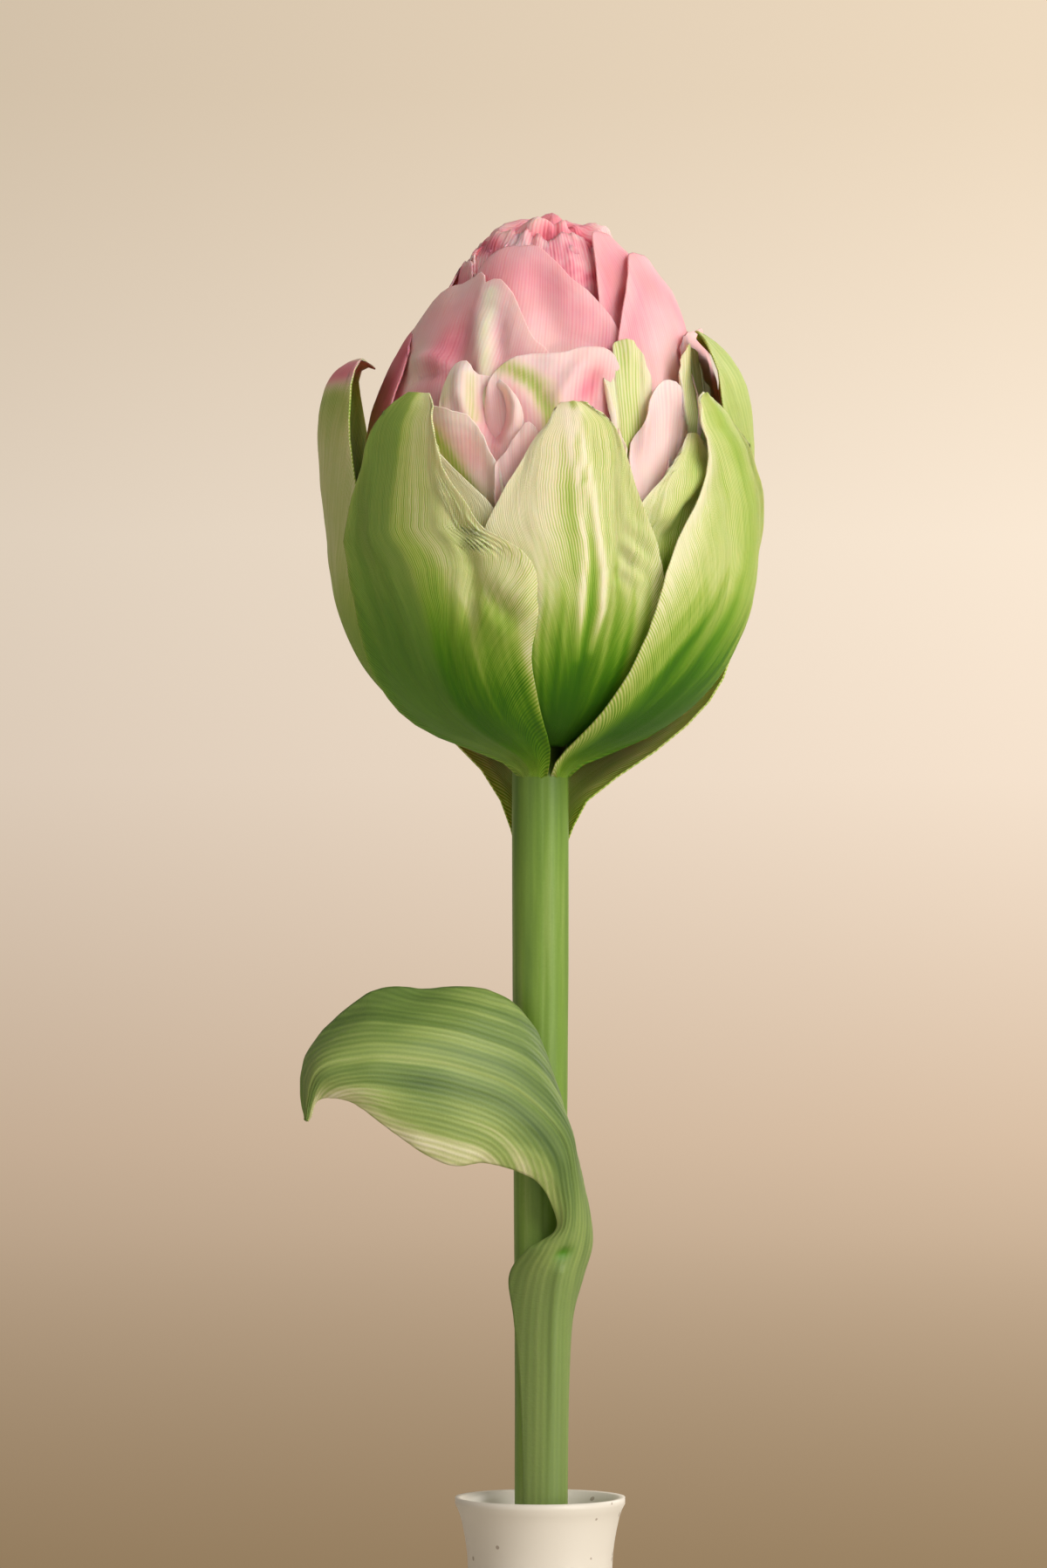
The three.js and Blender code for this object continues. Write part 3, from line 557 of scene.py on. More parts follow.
TEPALS = [
    dict(
        name="bract", profile=BRACT, seed=11,
        rise=[-16, -11, -7, -3, 1, 6, 13, 22, 32, 42, 49, 53],
        left=[128, 112, 106, 103, 103, 105, 109, 116, 125, 140, 156, 172],
        right=[232, 236, 236, 233, 230, 230, 230, 229, 225, 212, 198, 182],
        depth=[0] * 11 + [0.6],
        hug=[0, 0, 0.2, 1, 1.7, 1.2, 0.7, 0.7, 0.7, 0.7, 0.5, 0.2],
        paint=paint_bract, inside=paint_bract_inside, merge=8, edge=0.3, size=(48, 84),
    ),
    dict(
        name="tepal_front_left",
        rise=[-3.6, 0.6, 3.5, 8, 16, 24, 29, 32.6, 35.8, 40, 44.5, 50, 54.5, 57],
        left=[-50, -58, -69, -69, -62, -59, -59.5, -60, -59.5, -57, -53, -49, -43, -37],
        right=[16, 12, 5, 0, -2.5, -0.6, -1, -5, -14, -19.5, -24, -27.5, -29, -31],
        depth=[0] * 6 + [-0.1, -0.2, -0.2, 0, 0, 0, 0.3, 0.8],
        midrib=[0, 0.05, 0.1, 0.05, 0, -0.1, -0.15, -0.18, -0.17, -0.12, -0.05, 0, 0, 0],
        # Pleats along the near margin, a fold and a bulging lobe below them, and a dent in it
        ridges=[*PLEATS, ([(-14, 40), (-11.6, 34), (-10.4, 29), (-10.8, 20)], 1.3, -1.1)],
        spots=[(1.5, (-4.6, 25.5), 5.5, 4, 70), (-1.6, (-6, 24), 3.6, 1.5, -38)],
        paint=paint_front_left, merge=6, packed=1.2, wave=0.5, size=(84, 128),
    ),
    dict(
        name="tepal_front_right",
        rise=[-3.6, 0.6, 3.5, 8, 16, 24, 32, 38, 44, 50, 55, 57.2],
        left=[24, 20, 20, 24, 29, 31.5, 35, 40, 45.5, 45, 44.5, 48.5],
        right=[92, 95, 98, 100, 100, 99, 96, 88, 76, 65, 56, 50],
        depth=[0] * 10 + [0.4, 0.8],
        midrib=[0, -0.2, -0.2, -0.2, -0.1, 0.1, 0.28, 0.33, 0.3, 0.25, 0.1, 0],
        spots=[(-0.5, (26.5, 42), 3.5, 1.4, 70), (0.35, (24, 33), 3.5, 1.2, 80)],
        relief=relief_front_right,
        paint=paint_front_right, merge=6, packed=1.2, size=(84, 128),
    ),
    dict(
        name="tepal_back",
        rise=[-3.6, 0.6, 3.5, 8, 16, 25, 34, 43, 51, 57, 61, 63],
        left=[150, 148, 146, 145, 144, 143, 144, 146, 151, 159, 169, 180],
        right=[214, 216, 218, 219, 220, 221, 220, 218, 213, 205, 195, 184],
        depth=[0] * 9 + [0.2, 0.4, 0.8],
        paint=paint_tepal(), merge=6,
    ),
    dict(
        name="tepal_front_centre",
        rise=[1.4, 4.5, 10, 18, 26, 33, 40, 47, 52.5, 55.4],
        left=[-20, -14, -17, -18.4, -18.5, -17, -11, -4, 2, 5],
        right=[45, 38, 38, 38.5, 36.5, 32.5, 27, 22.5, 18.5, 11],
        depth=[1.3] * 8 + [1.5, 1.7],
        midrib=[0, 0.05, 0.1, 0.13, 0.18, 0.2, 0.15, 0.1, 0, 0],
        ridges=[(STRIPES[0], 0.7, 0.4), (STRIPES[1], 0.7, 0.4)],
        spots=[(-0.7, (13, 30), 2.6, 1.5, 60)], relief=relief_front_centre,
        paint=paint_front_centre, keel=-0.2, packed=1.2, wave=0.5, size=(90, 120),
    ),
    dict(
        name="tepal_left",
        rise=[1.4, 4.5, 10, 19, 28, 37, 47, 55, 60.5, 64, 65.5],
        left=[-122, -128, -131, -133, -134, -133, -131, -125, -118, -106, -94],
        right=[-72, -60, -54, -51, -52, -55, -57, -58, -61, -70, -90],
        depth=[1.4] * 5 + [1.2, 0.5, -0.2, 0, 2, 5],
        paint=paint_left, inside=paint_left_inside,
    ),
    dict(
        name="tepal_right",
        rise=[1.4, 4.5, 10, 19, 28, 37, 44, 52, 60, 65, 67.8],
        left=[72, 64, 61, 62, 64, 67, 66, 58, 56, 58, 66],
        right=[118, 124, 128, 131, 131, 130, 128, 123, 112, 95, 72],
        depth=[1.3] * 7 + [1.1, 0.1, 0, 0.4],
        hug=[0] * 6 + [0.4, 1.6, 3, 3, 2],
        paint=paint_right, inside=paint_right_inside, packed=1.3,
    ),
    dict(
        name="tepal_inner_right",
        rise=[3, 8, 15, 24, 31, 35, 39, 43.5, 47.5, 51],
        left=[20, 15, 14, 15, 18, 22, 28, 34, 40, 45],
        right=[56, 60, 62, 62, 62, 61, 59, 56, 52, 47],
        depth=[2.8, 2.8, 2.8, 2.8, 2.7, 2.6, 2.5, 2.4, 2.4, 2.5],
        # The near margin rolls outwards in a band, with a hollow behind it
        ridges=[
            ([(17, 36), (21, 41), (25.5, 46.5)], 1.8, 1.6),
            ([(19, 33), (21.5, 36), (23.5, 41)], 1.2, -1.6),
        ],
        paint=paint_tepal(0.26, (16, 36), 0.2), packed=1.5,
    ),
    dict(
        name="tepal_inner_left",
        rise=[3, 8, 15, 24, 33, 40, 46, 52, 55.5],
        left=[-54, -58, -60, -60, -59, -58, -56, -50, -40],
        right=[-14, -8, -6, -6, -8, -14.5, -26, -33, -36],
        depth=[2.8] * 9,
        paint=paint_tepal(0.14, (20, 40), 0.1),
    ),
    dict(
        name="tepal_inner_back_left",
        rise=[3, 8, 15, 24, 33, 42, 50, 55, 58],
        left=[-172, -176, -178, -178, -177, -174, -168, -160, -150],
        right=[-118, -114, -112, -112, -113, -116, -124, -134, -146],
        depth=[2.8] * 6 + [2.6, 2.4, 2.4],
        paint=paint_tepal(0.24, blush=0.2),
    ),
    dict(
        name="tepal_inner_back_right",
        rise=[3, 8, 15, 24, 33, 42, 51, 57, 60],
        left=[110, 106, 104, 104, 105, 108, 116, 126, 136],
        right=[164, 168, 171, 172, 171, 168, 160, 151, 141],
        depth=[2.8] * 6 + [2.6, 2.4, 2.4],
        paint=paint_tepal(0.24, blush=0.2),
    ),
]

PETALS = [
    dict(
        name="petal_small_front", left=[-12], right=[3],
        rise=[31, 37, 42, 46, 49.5, 51.6], depth=[-2, -2, -2.2, -2.5, -2.6, -2.4],
        outline=[
            (-13, 42), (-12.4, 45.9), (-9.6, 47.8), (-6.9, 49.7), (-4.7, 51.6), (-2.6, 51.6),
            (-1, 49.8), (-1.6, 47.4), (-3.6, 45), (-5.6, 42.6), (-7, 39.6),
        ],
        paint=paint_pink(0.36, 0.1), curl=0.7,
    ),
    dict(
        name="petal_fold_left", left=[-30], right=[-14],
        rise=[31, 38, 44, 49, 53, 55.4], depth=[-1.2, -1.2, -1.6, -2.2, -2.6, -2.8],
        outline=[
            (-28.6, 44), (-31, 49.2), (-33.6, 52.1), (-35, 54.6), (-32.5, 54.2), (-28, 53.6),
            (-22.6, 53), (-19.5, 51.8), (-16.5, 49.6), (-14.3, 47.2), (-11.7, 45), (-10.8, 42),
            (-11.2, 39),
        ],
        paint=paint_fold, curl=0.8, wave=0.2,
    ),
    dict(
        name="petal_fold_right", left=[-28], right=[0],
        rise=[31, 39, 45, 51, 56, 60.6], depth=[-0.4, -0.6, -0.9, -1.1, -1.2, -1],
        outline=[
            (-31.9, 46), (-33.2, 52), (-33.4, 56.4), (-32.5, 59.2), (-30.5, 60.8), (-26, 61.6),
            (-22.8, 59.8), (-19.6, 59.6), (-14.4, 59), (-10.2, 57.4), (-7.3, 55.6), (-5.2, 53),
            (-5.4, 50.6), (-8, 47), (-10.4, 43),
        ],
        # Two rolled rims round the hollow, which meet in a point at their foot
        ridges=[
            ([(-10.9, 62), (-12, 59.2), (-12.2, 56.7), (-11.2, 53.8), (-8.4, 49)], 1, 1.1),
            ([(-8.5, 59.4), (-5.2, 57.6), (-3.9, 55), (-4.2, 52), (-6.6, 48.6)], 0.9, 1),
        ],
        relief=relief_trough, paint=paint_trough, curl=0.2, wave=0.1,
    ),
    dict(
        name="petal_right_ruffled", left=[28], right=[42],
        rise=[31, 38, 43, 47, 51, 55, 58, 59.6], depth=[-1.8, -1.8, -1.8, -1.8, -2, -2.2, -2.3, -2.3],
        outline=[
            (28.8, 41), (27.3, 44.3), (28.3, 48.5), (32, 52.1), (35.5, 55.3), (40, 57.9), (45.2, 58.4),
            (47.8, 56.9), (47.3, 54.1), (49.9, 50.2), (45.4, 48.4), (41.4, 46.9), (38.5, 43.7),
            (33.6, 39.1),
        ],
        paint=paint_pink(0.34, 0.1, 0.25), wave=0.8,
    ),
    dict(
        name="petal_right_cream", slot="cream_green", left=[18], right=[37],
        rise=[31, 40, 48, 54, 59, 63, 65.6], depth=[-0.5, -0.5, -0.5, -0.6, -0.8, -1, -1],
        outline=[
            (27, 48), (24, 54), (22.2, 59.8), (24.8, 60.8), (25.6, 62), (26.5, 64.4), (30.6, 65.2),
            (35.4, 64.5), (37, 62.4), (38.8, 60.6), (40, 58.4), (37.5, 54.7), (33.9, 48),
        ],
        paint=paint_cream(0.26), wave=1.1, rumple=0.9,
    ),
    dict(
        name="petal_far_right_cream", slot="cream_green", left=[45], right=[70],
        rise=[31, 41, 50, 56, 61, 64.4], depth=[-0.5, -0.5, -0.6, -0.8, -1.2, -1.6],
        outline=[
            (48, 48), (50, 54), (52, 60.3), (57.1, 63.5), (64, 64), (68.9, 62.8), (67.3, 60.6),
            (70, 56), (70, 50),
        ],
        paint=paint_cream(0.24), wave=1.1, rumple=0.9,
    ),
    dict(
        name="petal_right_edge", rise=[31, 42, 52, 60, 65, 67],
        left=[62, 62, 62, 62, 64, 72], right=[107, 107, 106, 103, 99, 92],
        depth=[-0.3, -0.3, -0.3, -0.3, -0.4, -0.6], hug=[-0.2, -0.4, -1, -1.7, -1.9, -1.8],
        paint=paint_pink(0.4, 0.2), edge=1, wave=0.8,
    ),
    dict(
        name="petal_low_centre", left=[-18], right=[26],
        rise=[31, 40, 48, 54, 60, 63.4], depth=[1, 1, 0.9, 0.7, 0.2, 0],
        outline=[
            (-20, 46), (-19.1, 55), (-17.1, 59.8), (-11.3, 62.1), (-3.1, 63), (5.2, 62.8), (12, 63.6),
            (19, 63.9), (25.5, 63), (28.5, 59), (28.5, 50),
        ],
        # A standing fold from the top edge down to the left, between two creases
        ridges=[
            ([(6.5, 62), (3.5, 57), (2, 53.5)], 1.1, 0.9),
            ([(8.2, 61), (7.4, 56.5), (8, 52.5)], 1.2, -0.9),
            ([(-6, 60), (-2, 58.5), (1, 54)], 1, -0.7),
        ],
        paint=paint_low_centre,
    ),
    dict(
        name="petal_left_small", rise=[31, 42, 52, 59, 64, 67.8],
        left=[-119, -120, -118, -114, -107, -94], right=[-62, -61, -60, -61, -65, -78],
        depth=[0.4, 0.4, 0.1, 0, 0.2, 0.6],
        paint=paint_pink(0.85, 0.15, 0.5), arch=1,
    ),
    dict(
        name="petal_left_ribbed", left=[-58], right=[0],
        rise=[31, 43, 53, 61, 67, 72, 75, 76.6], depth=[2.2, 2.2, 2, 1.4, 0.8, 0.3, 0.1, 0],
        outline=[
            (-88, 44), (-88, 54), (-86, 62), (-80, 68), (-72, 71.4), (-66.3, 74.1), (-54, 75.2),
            (-43, 76.2), (-38.5, 76), (-35.3, 74.4), (-30, 75), (-24.3, 74.4), (-18.5, 73),
            (-13.5, 70.7), (-8.9, 68.1), (-5.2, 65.9), (-0.6, 64.6), (2.8, 62.6), (4, 58), (3, 50),
        ],
        # A tall pale rib with a groove beside it, and folds to its left
        ridges=[
            ([(-8.5, 71.5), (-9.2, 66), (-8.6, 60), (-8, 52)], 1.5, 1.2),
            ([(-6.4, 69.5), (-6.2, 64), (-6.4, 56)], 0.9, -0.7),
            ([(-11.8, 69), (-13, 63), (-14.6, 57)], 1.5, -0.9),
            ([(-20.5, 62), (-17, 63), (-13.5, 61)], 1.1, 1),
            ([(-20.5, 59.6), (-16, 60.4)], 0.9, -0.8),
        ],
        paint=paint_left_ribbed,
    ),
    dict(
        name="petal_right_large", left=[28], right=[99],
        rise=[31, 43, 53, 61, 68, 73.5, 77, 78.6], depth=[2.2, 2.1, 1.8, 1, 0, -0.9, -1.3, -1.4],
        outline=[
            (28, 50), (27.5, 60), (29.5, 66), (32.5, 69.5), (38, 72.6), (44, 75.5), (49.6, 77.6),
            (58.5, 78.8), (68, 78.4), (78, 76.5), (88, 73), (98, 66), (104, 56), (104, 44),
        ],
        paint=paint_pink(0.45, 0.3, 0.05),
    ),
    dict(
        name="petal_centre_large", left=[-34], right=[33],
        rise=[31, 45, 57, 66, 72, 76.5, 79], depth=[3.5, 3.5, 3.1, 2.3, 1.7, 1.2, 0.6],
        outline=[
            (-38, 50), (-42, 62), (-46, 70), (-50.4, 75.2), (-48.6, 77.2), (-42, 79.4), (-29.5, 80.6),
            (-11.5, 80.8), (-1, 79.8), (7.6, 77.6), (13, 75.4), (19.9, 73.4), (25.5, 71.5),
            (30.2, 68.7), (32.6, 65), (34, 58), (34, 50),
        ],
        # Broad soft folds that run up to the top edge, and a crease across their foot
        ridges=[
            ([(-1, 79), (0, 72), (3.5, 64)], 2.2, -0.8),
            ([(5, 77), (9, 70), (13, 63)], 2.4, 0.7),
            ([(-6, 77), (-5, 70), (-3, 62)], 2.6, 0.6),
            ([(-1, 63.5), (4, 65.5), (9, 65)], 1.2, -0.8),
        ],
        paint=paint_pink(0.41, 0.34, 0.05),
    ),
    dict(
        name="petal_upper_right", left=[39], right=[84],
        rise=[31, 46, 58, 67, 73, 77.5, 80.6, 82.6], depth=[3.4, 3.4, 3, 2.4, 1.7, 1, 0.2, -0.6],
        outline=[
            (22, 56), (23.5, 66), (25.2, 71), (27.5, 75), (31, 78.6), (36, 81.4), (44, 82.8), (52, 82.4),
            (62, 80.8), (71, 78.6), (78, 75.6), (82, 71), (82, 65), (80, 56),
        ],
        # A crease across its foot, and two folds that run up to its curled tip
        ridges=[
            ([(11.5, 70), (14.5, 72.5), (18.5, 75)], 1.3, -1),
            ([(12.5, 80), (13.5, 76), (14.5, 73)], 1.1, 0.8),
            ([(15.5, 80.5), (16.5, 76.5), (17, 73.5)], 1, -0.6),
        ],
        paint=paint_pink(0.45, 0.3, 0.05),
    ),
    dict(
        name="petal_upper_centre", left=[-15], right=[44],
        rise=[31, 47, 60, 68, 74, 78.5, 81.5, 82.8], depth=[4.7, 4.7, 4.6, 4.1, 3.4, 2.8, 2, 1.4],
        outline=[
            (-14, 60), (-14, 70), (-13, 77.6), (-9, 80.6), (-1.3, 82.3), (14, 83), (30, 82.4),
            (38, 80.6), (39, 76), (38, 70), (36, 60),
        ],
        paint=paint_pink(0.66, 0.15, 0.1),
    ),
]

# Petals round the back, by rule: each is ovate about its own azimuth. A row gives the name, the
# azimuth, half the width, the tip's height, and the depths at the root and the top.
BACK_PETALS = [
    ("petal_back_low_right", 132, 21, 63, 0.4, -0.4),
    ("petal_back_low_centre", 177, 20, 65.5, 0.4, -0.4),
    ("petal_back_low_left", 218, 18, 62, 0.4, -0.4),
    ("petal_back_right", 136, 31, 75, 1.9, 0.2),
    ("petal_back_left", 222, 32, 76.5, 1.9, 0.2),
    ("petal_back_centre", 178, 36, 80, 3.2, 1.2),
    ("petal_upper_left", 264, 34, 79, 3.2, 1.2),
    ("petal_upper_back", 132, 32, 82.5, 4.7, 2.2),
]
OVATE = [0.9, 0.97, 1, 1, 0.96, 0.82, 0.56, 0.14]
SHARE_OF_RISE = [0, 0.2, 0.4, 0.57, 0.74, 0.86, 0.95, 1]
CLAW_TOP = 31


def ovate(name, az, half, tip, root, top):
    return dict(
        name=name,
        rise=[lerp(CLAW_TOP, tip, s) for s in SHARE_OF_RISE],
        left=[az - half * w for w in OVATE],
        right=[az + half * w for w in OVATE],
        depth=[lerp(root, top, float(smoothstep(s, 0.5, 1))) for s in SHARE_OF_RISE],
        paint=paint_pink(0.5, 0.25), wave=0.5, arch=0.8,
    )


# The claw that carries a petal down to the stem, narrowing on the way
CLAW_RISE = [7, 8.4, 11, 15.5, 22]
CLAW_WIDTH = [0.6, 0.7, 0.8, 0.9, 0.96]
CLAW_STACKED = [1, 0.75, 0.4, 0.12, 0]


def with_claw(shape):
    left, right, depth = shape["left"], shape["right"], shape["depth"]
    middle = (left[0] + right[0]) / 2
    root = 1.15 * (depth[0] + 2.8) - 1.6
    return {
        **shape,
        "rise": [*CLAW_RISE, *shape["rise"]],
        "left": [*(lerp(middle, left[0], w) for w in CLAW_WIDTH), *left],
        "right": [*(lerp(middle, right[0], w) for w in CLAW_WIDTH), *right],
        "depth": [*(lerp(depth[0], root, w) for w in CLAW_STACKED), *depth],
    }


# Heart: a core with crumpled petals that close over the top. A row of the crown gives a petal's
# outline, and its depths at the root and the rim.
CORE = [
    (0, 16), (8, 16), (15, 21), (19.4, 27), (21.8, 36), (22.3, 44), (21.2, 53), (19.2, 60),
    (16.4, 66), (13.8, 70.5), (12.6, 74.5), (11.4, 78.2), (8.8, 81.6), (4.6, 84), (0.01, 84.7),
]
CROWN = [
    ([(-51.4, 56.7), (-70, 58), (-90, 61), (-92, 64), (-82, 67), (-63.8, 66.3)], 2, 0.6),
    ([(-70, 72), (-88, 76.7), (-88, 79), (-65.9, 78.8), (-56, 77.5), (-47, 74)], 2, -0.1),
    ([(-59.5, 74), (-76, 79.6), (-84, 81.8), (-63.7, 82), (-48.2, 80), (-44, 75)], 2.4, 0.3),
    ([(-44.7, 75), (-68, 80.6), (-70, 82.4), (-46.8, 83), (-31.8, 82.8), (-20, 81), (-22, 76)], 2.6, -0.4),
    ([(-29, 77), (-36, 81.6), (-32, 82.8), (-18, 83.2), (-8, 82.8), (-1, 81.4), (-3, 77)], 3, 0.4),
    ([(-4, 77), (-3, 81.6), (10, 83), (26, 83.2), (38, 82), (44, 80), (40, 76)], 3, 0.5),
    ([(70, 74), (70, 80), (86, 82.4), (104, 83), (122, 82), (134, 79), (130, 74)], 3, 0.2),
    ([(120, 74), (118, 80), (136, 83), (158, 83.4), (176, 82), (184, 78), (178, 73)], 3, 0.1),
    ([(170, 73), (170, 80), (188, 82.6), (208, 83), (226, 81.4), (234, 78), (228, 73)], 3, 0),
    ([(222, 73), (222, 79), (240, 82), (258, 82.6), (276, 81.6), (286, 78), (280, 73)], 3, 0),
]


def heart_core():
    """A turned core with a lumpy top."""
    grid = turned_grid(fine_line([(max(r, AXIS), BLOOM_BASE + h) for r, h in CORE], 0.8), 150)
    rows, columns = grid.shape[:2]
    h = grid[..., 2] - BLOOM_BASE
    grid[..., 0] += DOME["lean"] * smoothstep(h, 55, 75)
    x, y = grid[..., 0], grid[..., 1]
    top = smoothstep(h, 70, 80)
    lumps = np.abs(wander(x * 0.2, y * 0.2 + h * 0.12, 50, 3)) ** 0.7
    small = np.abs(wander(x * 0.5, y * 0.5, 51, 2)) ** 0.8
    swell = (2.8 * lumps + 0.9 * small - 1.4) * top
    swell += 1.1 * spot(x, y, (0.6, 0), 2.2, 2.6) * smoothstep(h, 81, 84)
    paint = masks(0, 1 - 0.55 * lumps * top, 0, 0.1 * small * top)
    grid[..., 2] += swell * 0.8
    grid[..., :2] *= (1 + 0.5 * swell / np.maximum(np.hypot(x, y), 4))[..., None]
    v, u = np.meshgrid(np.linspace(0, 1, rows), np.linspace(0, 1, columns), indexing="ij")
    spread = rows_of(np.stack([u, v], -1))
    return rows_of(grid), turned_faces(rows, columns), spread, 60 * spread, rows_of(paint)


def crown_petal(outline, deep, shallow, seed):
    """A crumpled petal of the crown, rooted under the dome. Its pink pales at its rim."""
    first, last = outline[0][0], outline[-1][0]
    middle, half = (first + last) / 2, abs(last - first) / 2
    shape = {
        **PLAIN, "outline": outline, "rise": [62, 74, 80, 86], "seed": seed,
        "left": [middle - half * 0.7], "right": [middle + half * 0.7],
        "depth": [deep + 3, deep + 0.6, lerp(deep, shallow, 0.6), shallow],
        "rumple": 0.5, "crumple": 0.25, "wave": 0.3, "edge": 0.25,
    }
    u, v = slab_grid(46, 60)
    outer, x, h, *_ = blade_grid(shape, u, v)
    inner = outer - normals_of(outer) * (0.45 * (1 - 0.4 * v))[..., None]
    pale = 0.1 * smoothstep(v, 0.8, 1) * (1 + wander(x * 0.6, h * 0.6, 12))
    paint = masks(0, 0.72 + 0.2 * wander(x * 0.4, h * 0.4, 11) - pale)
    return slab(outer, inner, u, v, np.stack([u * 9, v * 16], -1), paint, paint)


def heart_piece():
    """The core and the crown's petals as one mesh."""
    parts = [heart_core()]
    parts += [crown_petal(*row, seed) for seed, row in enumerate(CROWN, 60)]
    points, quads, *layers = zip(*parts)
    starts = np.cumsum([0] + [len(rows) for rows in points]).tolist()
    faces = [[i + start for i in quad] for start, part in zip(starts, quads) for quad in part]
    return new_object("heart_fine", np.concatenate(points), faces, *map(np.concatenate, layers))


# Leaf: three rails from its foot to its tip, as in the solids: [x, y, height above the bloom]
LEAF_LENGTH = 150
LEAF_DENT = 0.385  # share of the length at which the leaf bends out of its sheath
LEAF_NEAR_MARGIN = [
    [-2.6, -4.3, -131.5], [-2.6, -4.3, -120.6], [-2.8, -4.3, -107.6], [-3.2, -4.4, -96.7],
    [-4.2, -4, -86.7], [-4.9, -3.9, -80.2], [-2.2, -6.6, -76], [2.2, -7.4, -72.9], [1.9, -9, -69.1],
    [-1, -12, -64.7], [-7.9, -16, -62.1], [-14.3, -18.5, -62.1], [-21.2, -20, -58.4],
    [-28.2, -20, -52.8], [-33.9, -18.6, -52], [-35.9, -17, -55.4],
]
LEAF_KEEL = [
    [1.4, -5.2, -131.4], [1.6, -5.2, -120.5], [1.8, -5.4, -107.5], [2, -5.8, -96.5],
    [2.2, -6.2, -86.6], [3, -6.9, -80.1], [4.6, -7.5, -75.5], [5.5, -8.2, -71], [5.1, -9.8, -65],
    [3.3, -12, -57.9], [-3.5, -15.5, -50.9], [-11.9, -18.3, -47.5], [-20.2, -19.8, -45.9],
    [-27.6, -20.3, -45.7], [-34.5, -19.4, -47.9], [-36.3, -17.3, -55.4],
]
LEAF_FAR_MARGIN = [
    [4.3, -2.8, -131.7], [4.3, -2.7, -120.7], [4.4, -2.6, -107.8], [4.6, -2.4, -96.8],
    [5.2, -1.6, -86.9], [6.9, -0.8, -80.4], [8.3, -0.6, -75], [7.5, -2.2, -68.4], [6, -4.6, -62.3],
    [4.5, -6.4, -54.7], [-0.4, -8, -40.9], [-8, -9, -35.2], [-17.9, -10, -34.6], [-27.3, -11, -36.1],
    [-36.6, -13.6, -45], [-36.8, -17, -55.1],
]


def leaf_relief(u, v, free, dent):
    """Fine ribs, a lined keel, an uneven margin, the sheath's ridge and the dent above it."""
    relief = 0.3 * wander(u * 1.2, v * 7, 202) * free - 0.7 * dent
    relief += 0.35 * wander(v * 26, 0 * v, 201) * np.abs(u) ** 6 * free
    relief += 0.025 * np.sin(u * 34) * smoothstep(v, 0.3, 0.5)
    relief += -0.35 * bell(u, 0.05) * smoothstep(v, 0.4, 0.6)
    return relief + 0.5 * bell(u, 0.16) * smoothstep(v, 0.05, 0.33) * (1 - smoothstep(v, 0.34, 0.36))


def leaf_paint(u, v, free, dent):
    """How pale, how much in the sheath, how much in the dent and how dark each point is; the dark is
    painted shade in patches, with random mottling.
    """
    pale = smoothstep(-u, 0.35, 0.95) * free
    light = 0.4 * bell(u - 0.1, 0.2) * smoothstep(v, 0.66, 0.8)
    # Painted shade: a band along the far margin towards the tip, a patch nearer the near margin, and the
    # first stretch of the free blade; random mottling is added to it.
    shade_and_mottle = 0.75 * smoothstep(u, 0.45, 0.85) * smoothstep(v, 0.72, 0.8) * (1 - smoothstep(v, 0.9, 0.96))
    shade_and_mottle += 0.9 * bell(u + 0.3, 0.24) * bell(v - 0.78, 0.07)
    shade_and_mottle += 0.6 * free * (1 - smoothstep(v, 0.62, 0.74)) + 0.35 * wander(u * 2.2, v * 9, 203) * free
    # The fourth channel, which masks() calls dry, carries the painted shade and mottling here.
    return masks(np.maximum(pale, light), 1 - smoothstep(v, 0.28, 0.42), dent, shade_and_mottle)


def leaf_piece():
    """The leaf: a ribbon that clasps the stem, then arches over with fine lengthwise ribs."""
    u, v = slab_grid(230, 57)
    near, keel, far = (
        np.stack([spline(axis, v) for axis in np.array(rail, float).T], -1)
        for rail in (LEAF_NEAR_MARGIN, LEAF_KEEL, LEAF_FAR_MARGIN)
    )
    w = u[..., None]
    grid = near * w * (w - 1) / 2 + keel * (1 - w * w) + far * w * (w + 1) / 2
    grid[..., 2] += BLOOM_BASE
    free = smoothstep(v, 0.42, 0.6)
    dent = bell(v - LEAF_DENT, 0.016) * bell(u + 0.08, 0.22)
    normal = normals_of(grid)
    outer = grid + normal * leaf_relief(u, v, free, dent)[..., None]
    inner = outer - normal * (BLADE * (1 - 0.5 * np.abs(u) ** 6))[..., None]
    half = np.maximum(np.linalg.norm(far - near, axis=-1) / 2, 3)
    veins = np.stack([u * half, v * LEAF_LENGTH], -1)
    paint = leaf_paint(u, v, free, dent)
    return new_object("leaf_fine", *slab(outer, inner, u, v, veins, paint, paint))


# Stem, vase and water, turned about the stem's axis

STEM = [
    (AXIS, VASE_FLOOR + GAP), (3.4, VASE_FLOOR + GAP), (3.9, 5.6), (4, 6.4), (4, 40), (4, 90), (4, 140),
    (4.1, 163), (4.3, 195), (4.5, 231), (4.5, 251.8), (4.3, 257), (4.3, 264), (4.3, 269.4), (AXIS, 270.7),
]
VASE_OUTSIDE = [
    (AXIS, 0.8), (25, 0.8), (26.5, 0.2), (28, 0), (29, 0), (31.5, 1), (34, 5), (38.6, 18), (41.4, 32),
    (42, 44), (40.6, 57), (37, 70), (31.2, 82), (24, 92.5), (17.4, 101.5), (13.2, 111), (11.6, 121),
    (11.4, 130), (12.4, 136.5), (13.5, 139.3), (13.1, VASE_HEIGHT), (12.3, 139.8),
]
VASE_INSIDE = [
    (11.4, 138.6), (10.2, 136), (8.6, 130), (8.5, 121), (9.8, 110.5), (14.2, 100), (21, 90.4),
    (28.2, 80.4), (33.6, 69), (37, 56.4), (38.3, 44), (37.8, 32.5), (35.2, 19.5), (31, 8.5),
    (27, VASE_FLOOR), (AXIS, VASE_FLOOR),
]


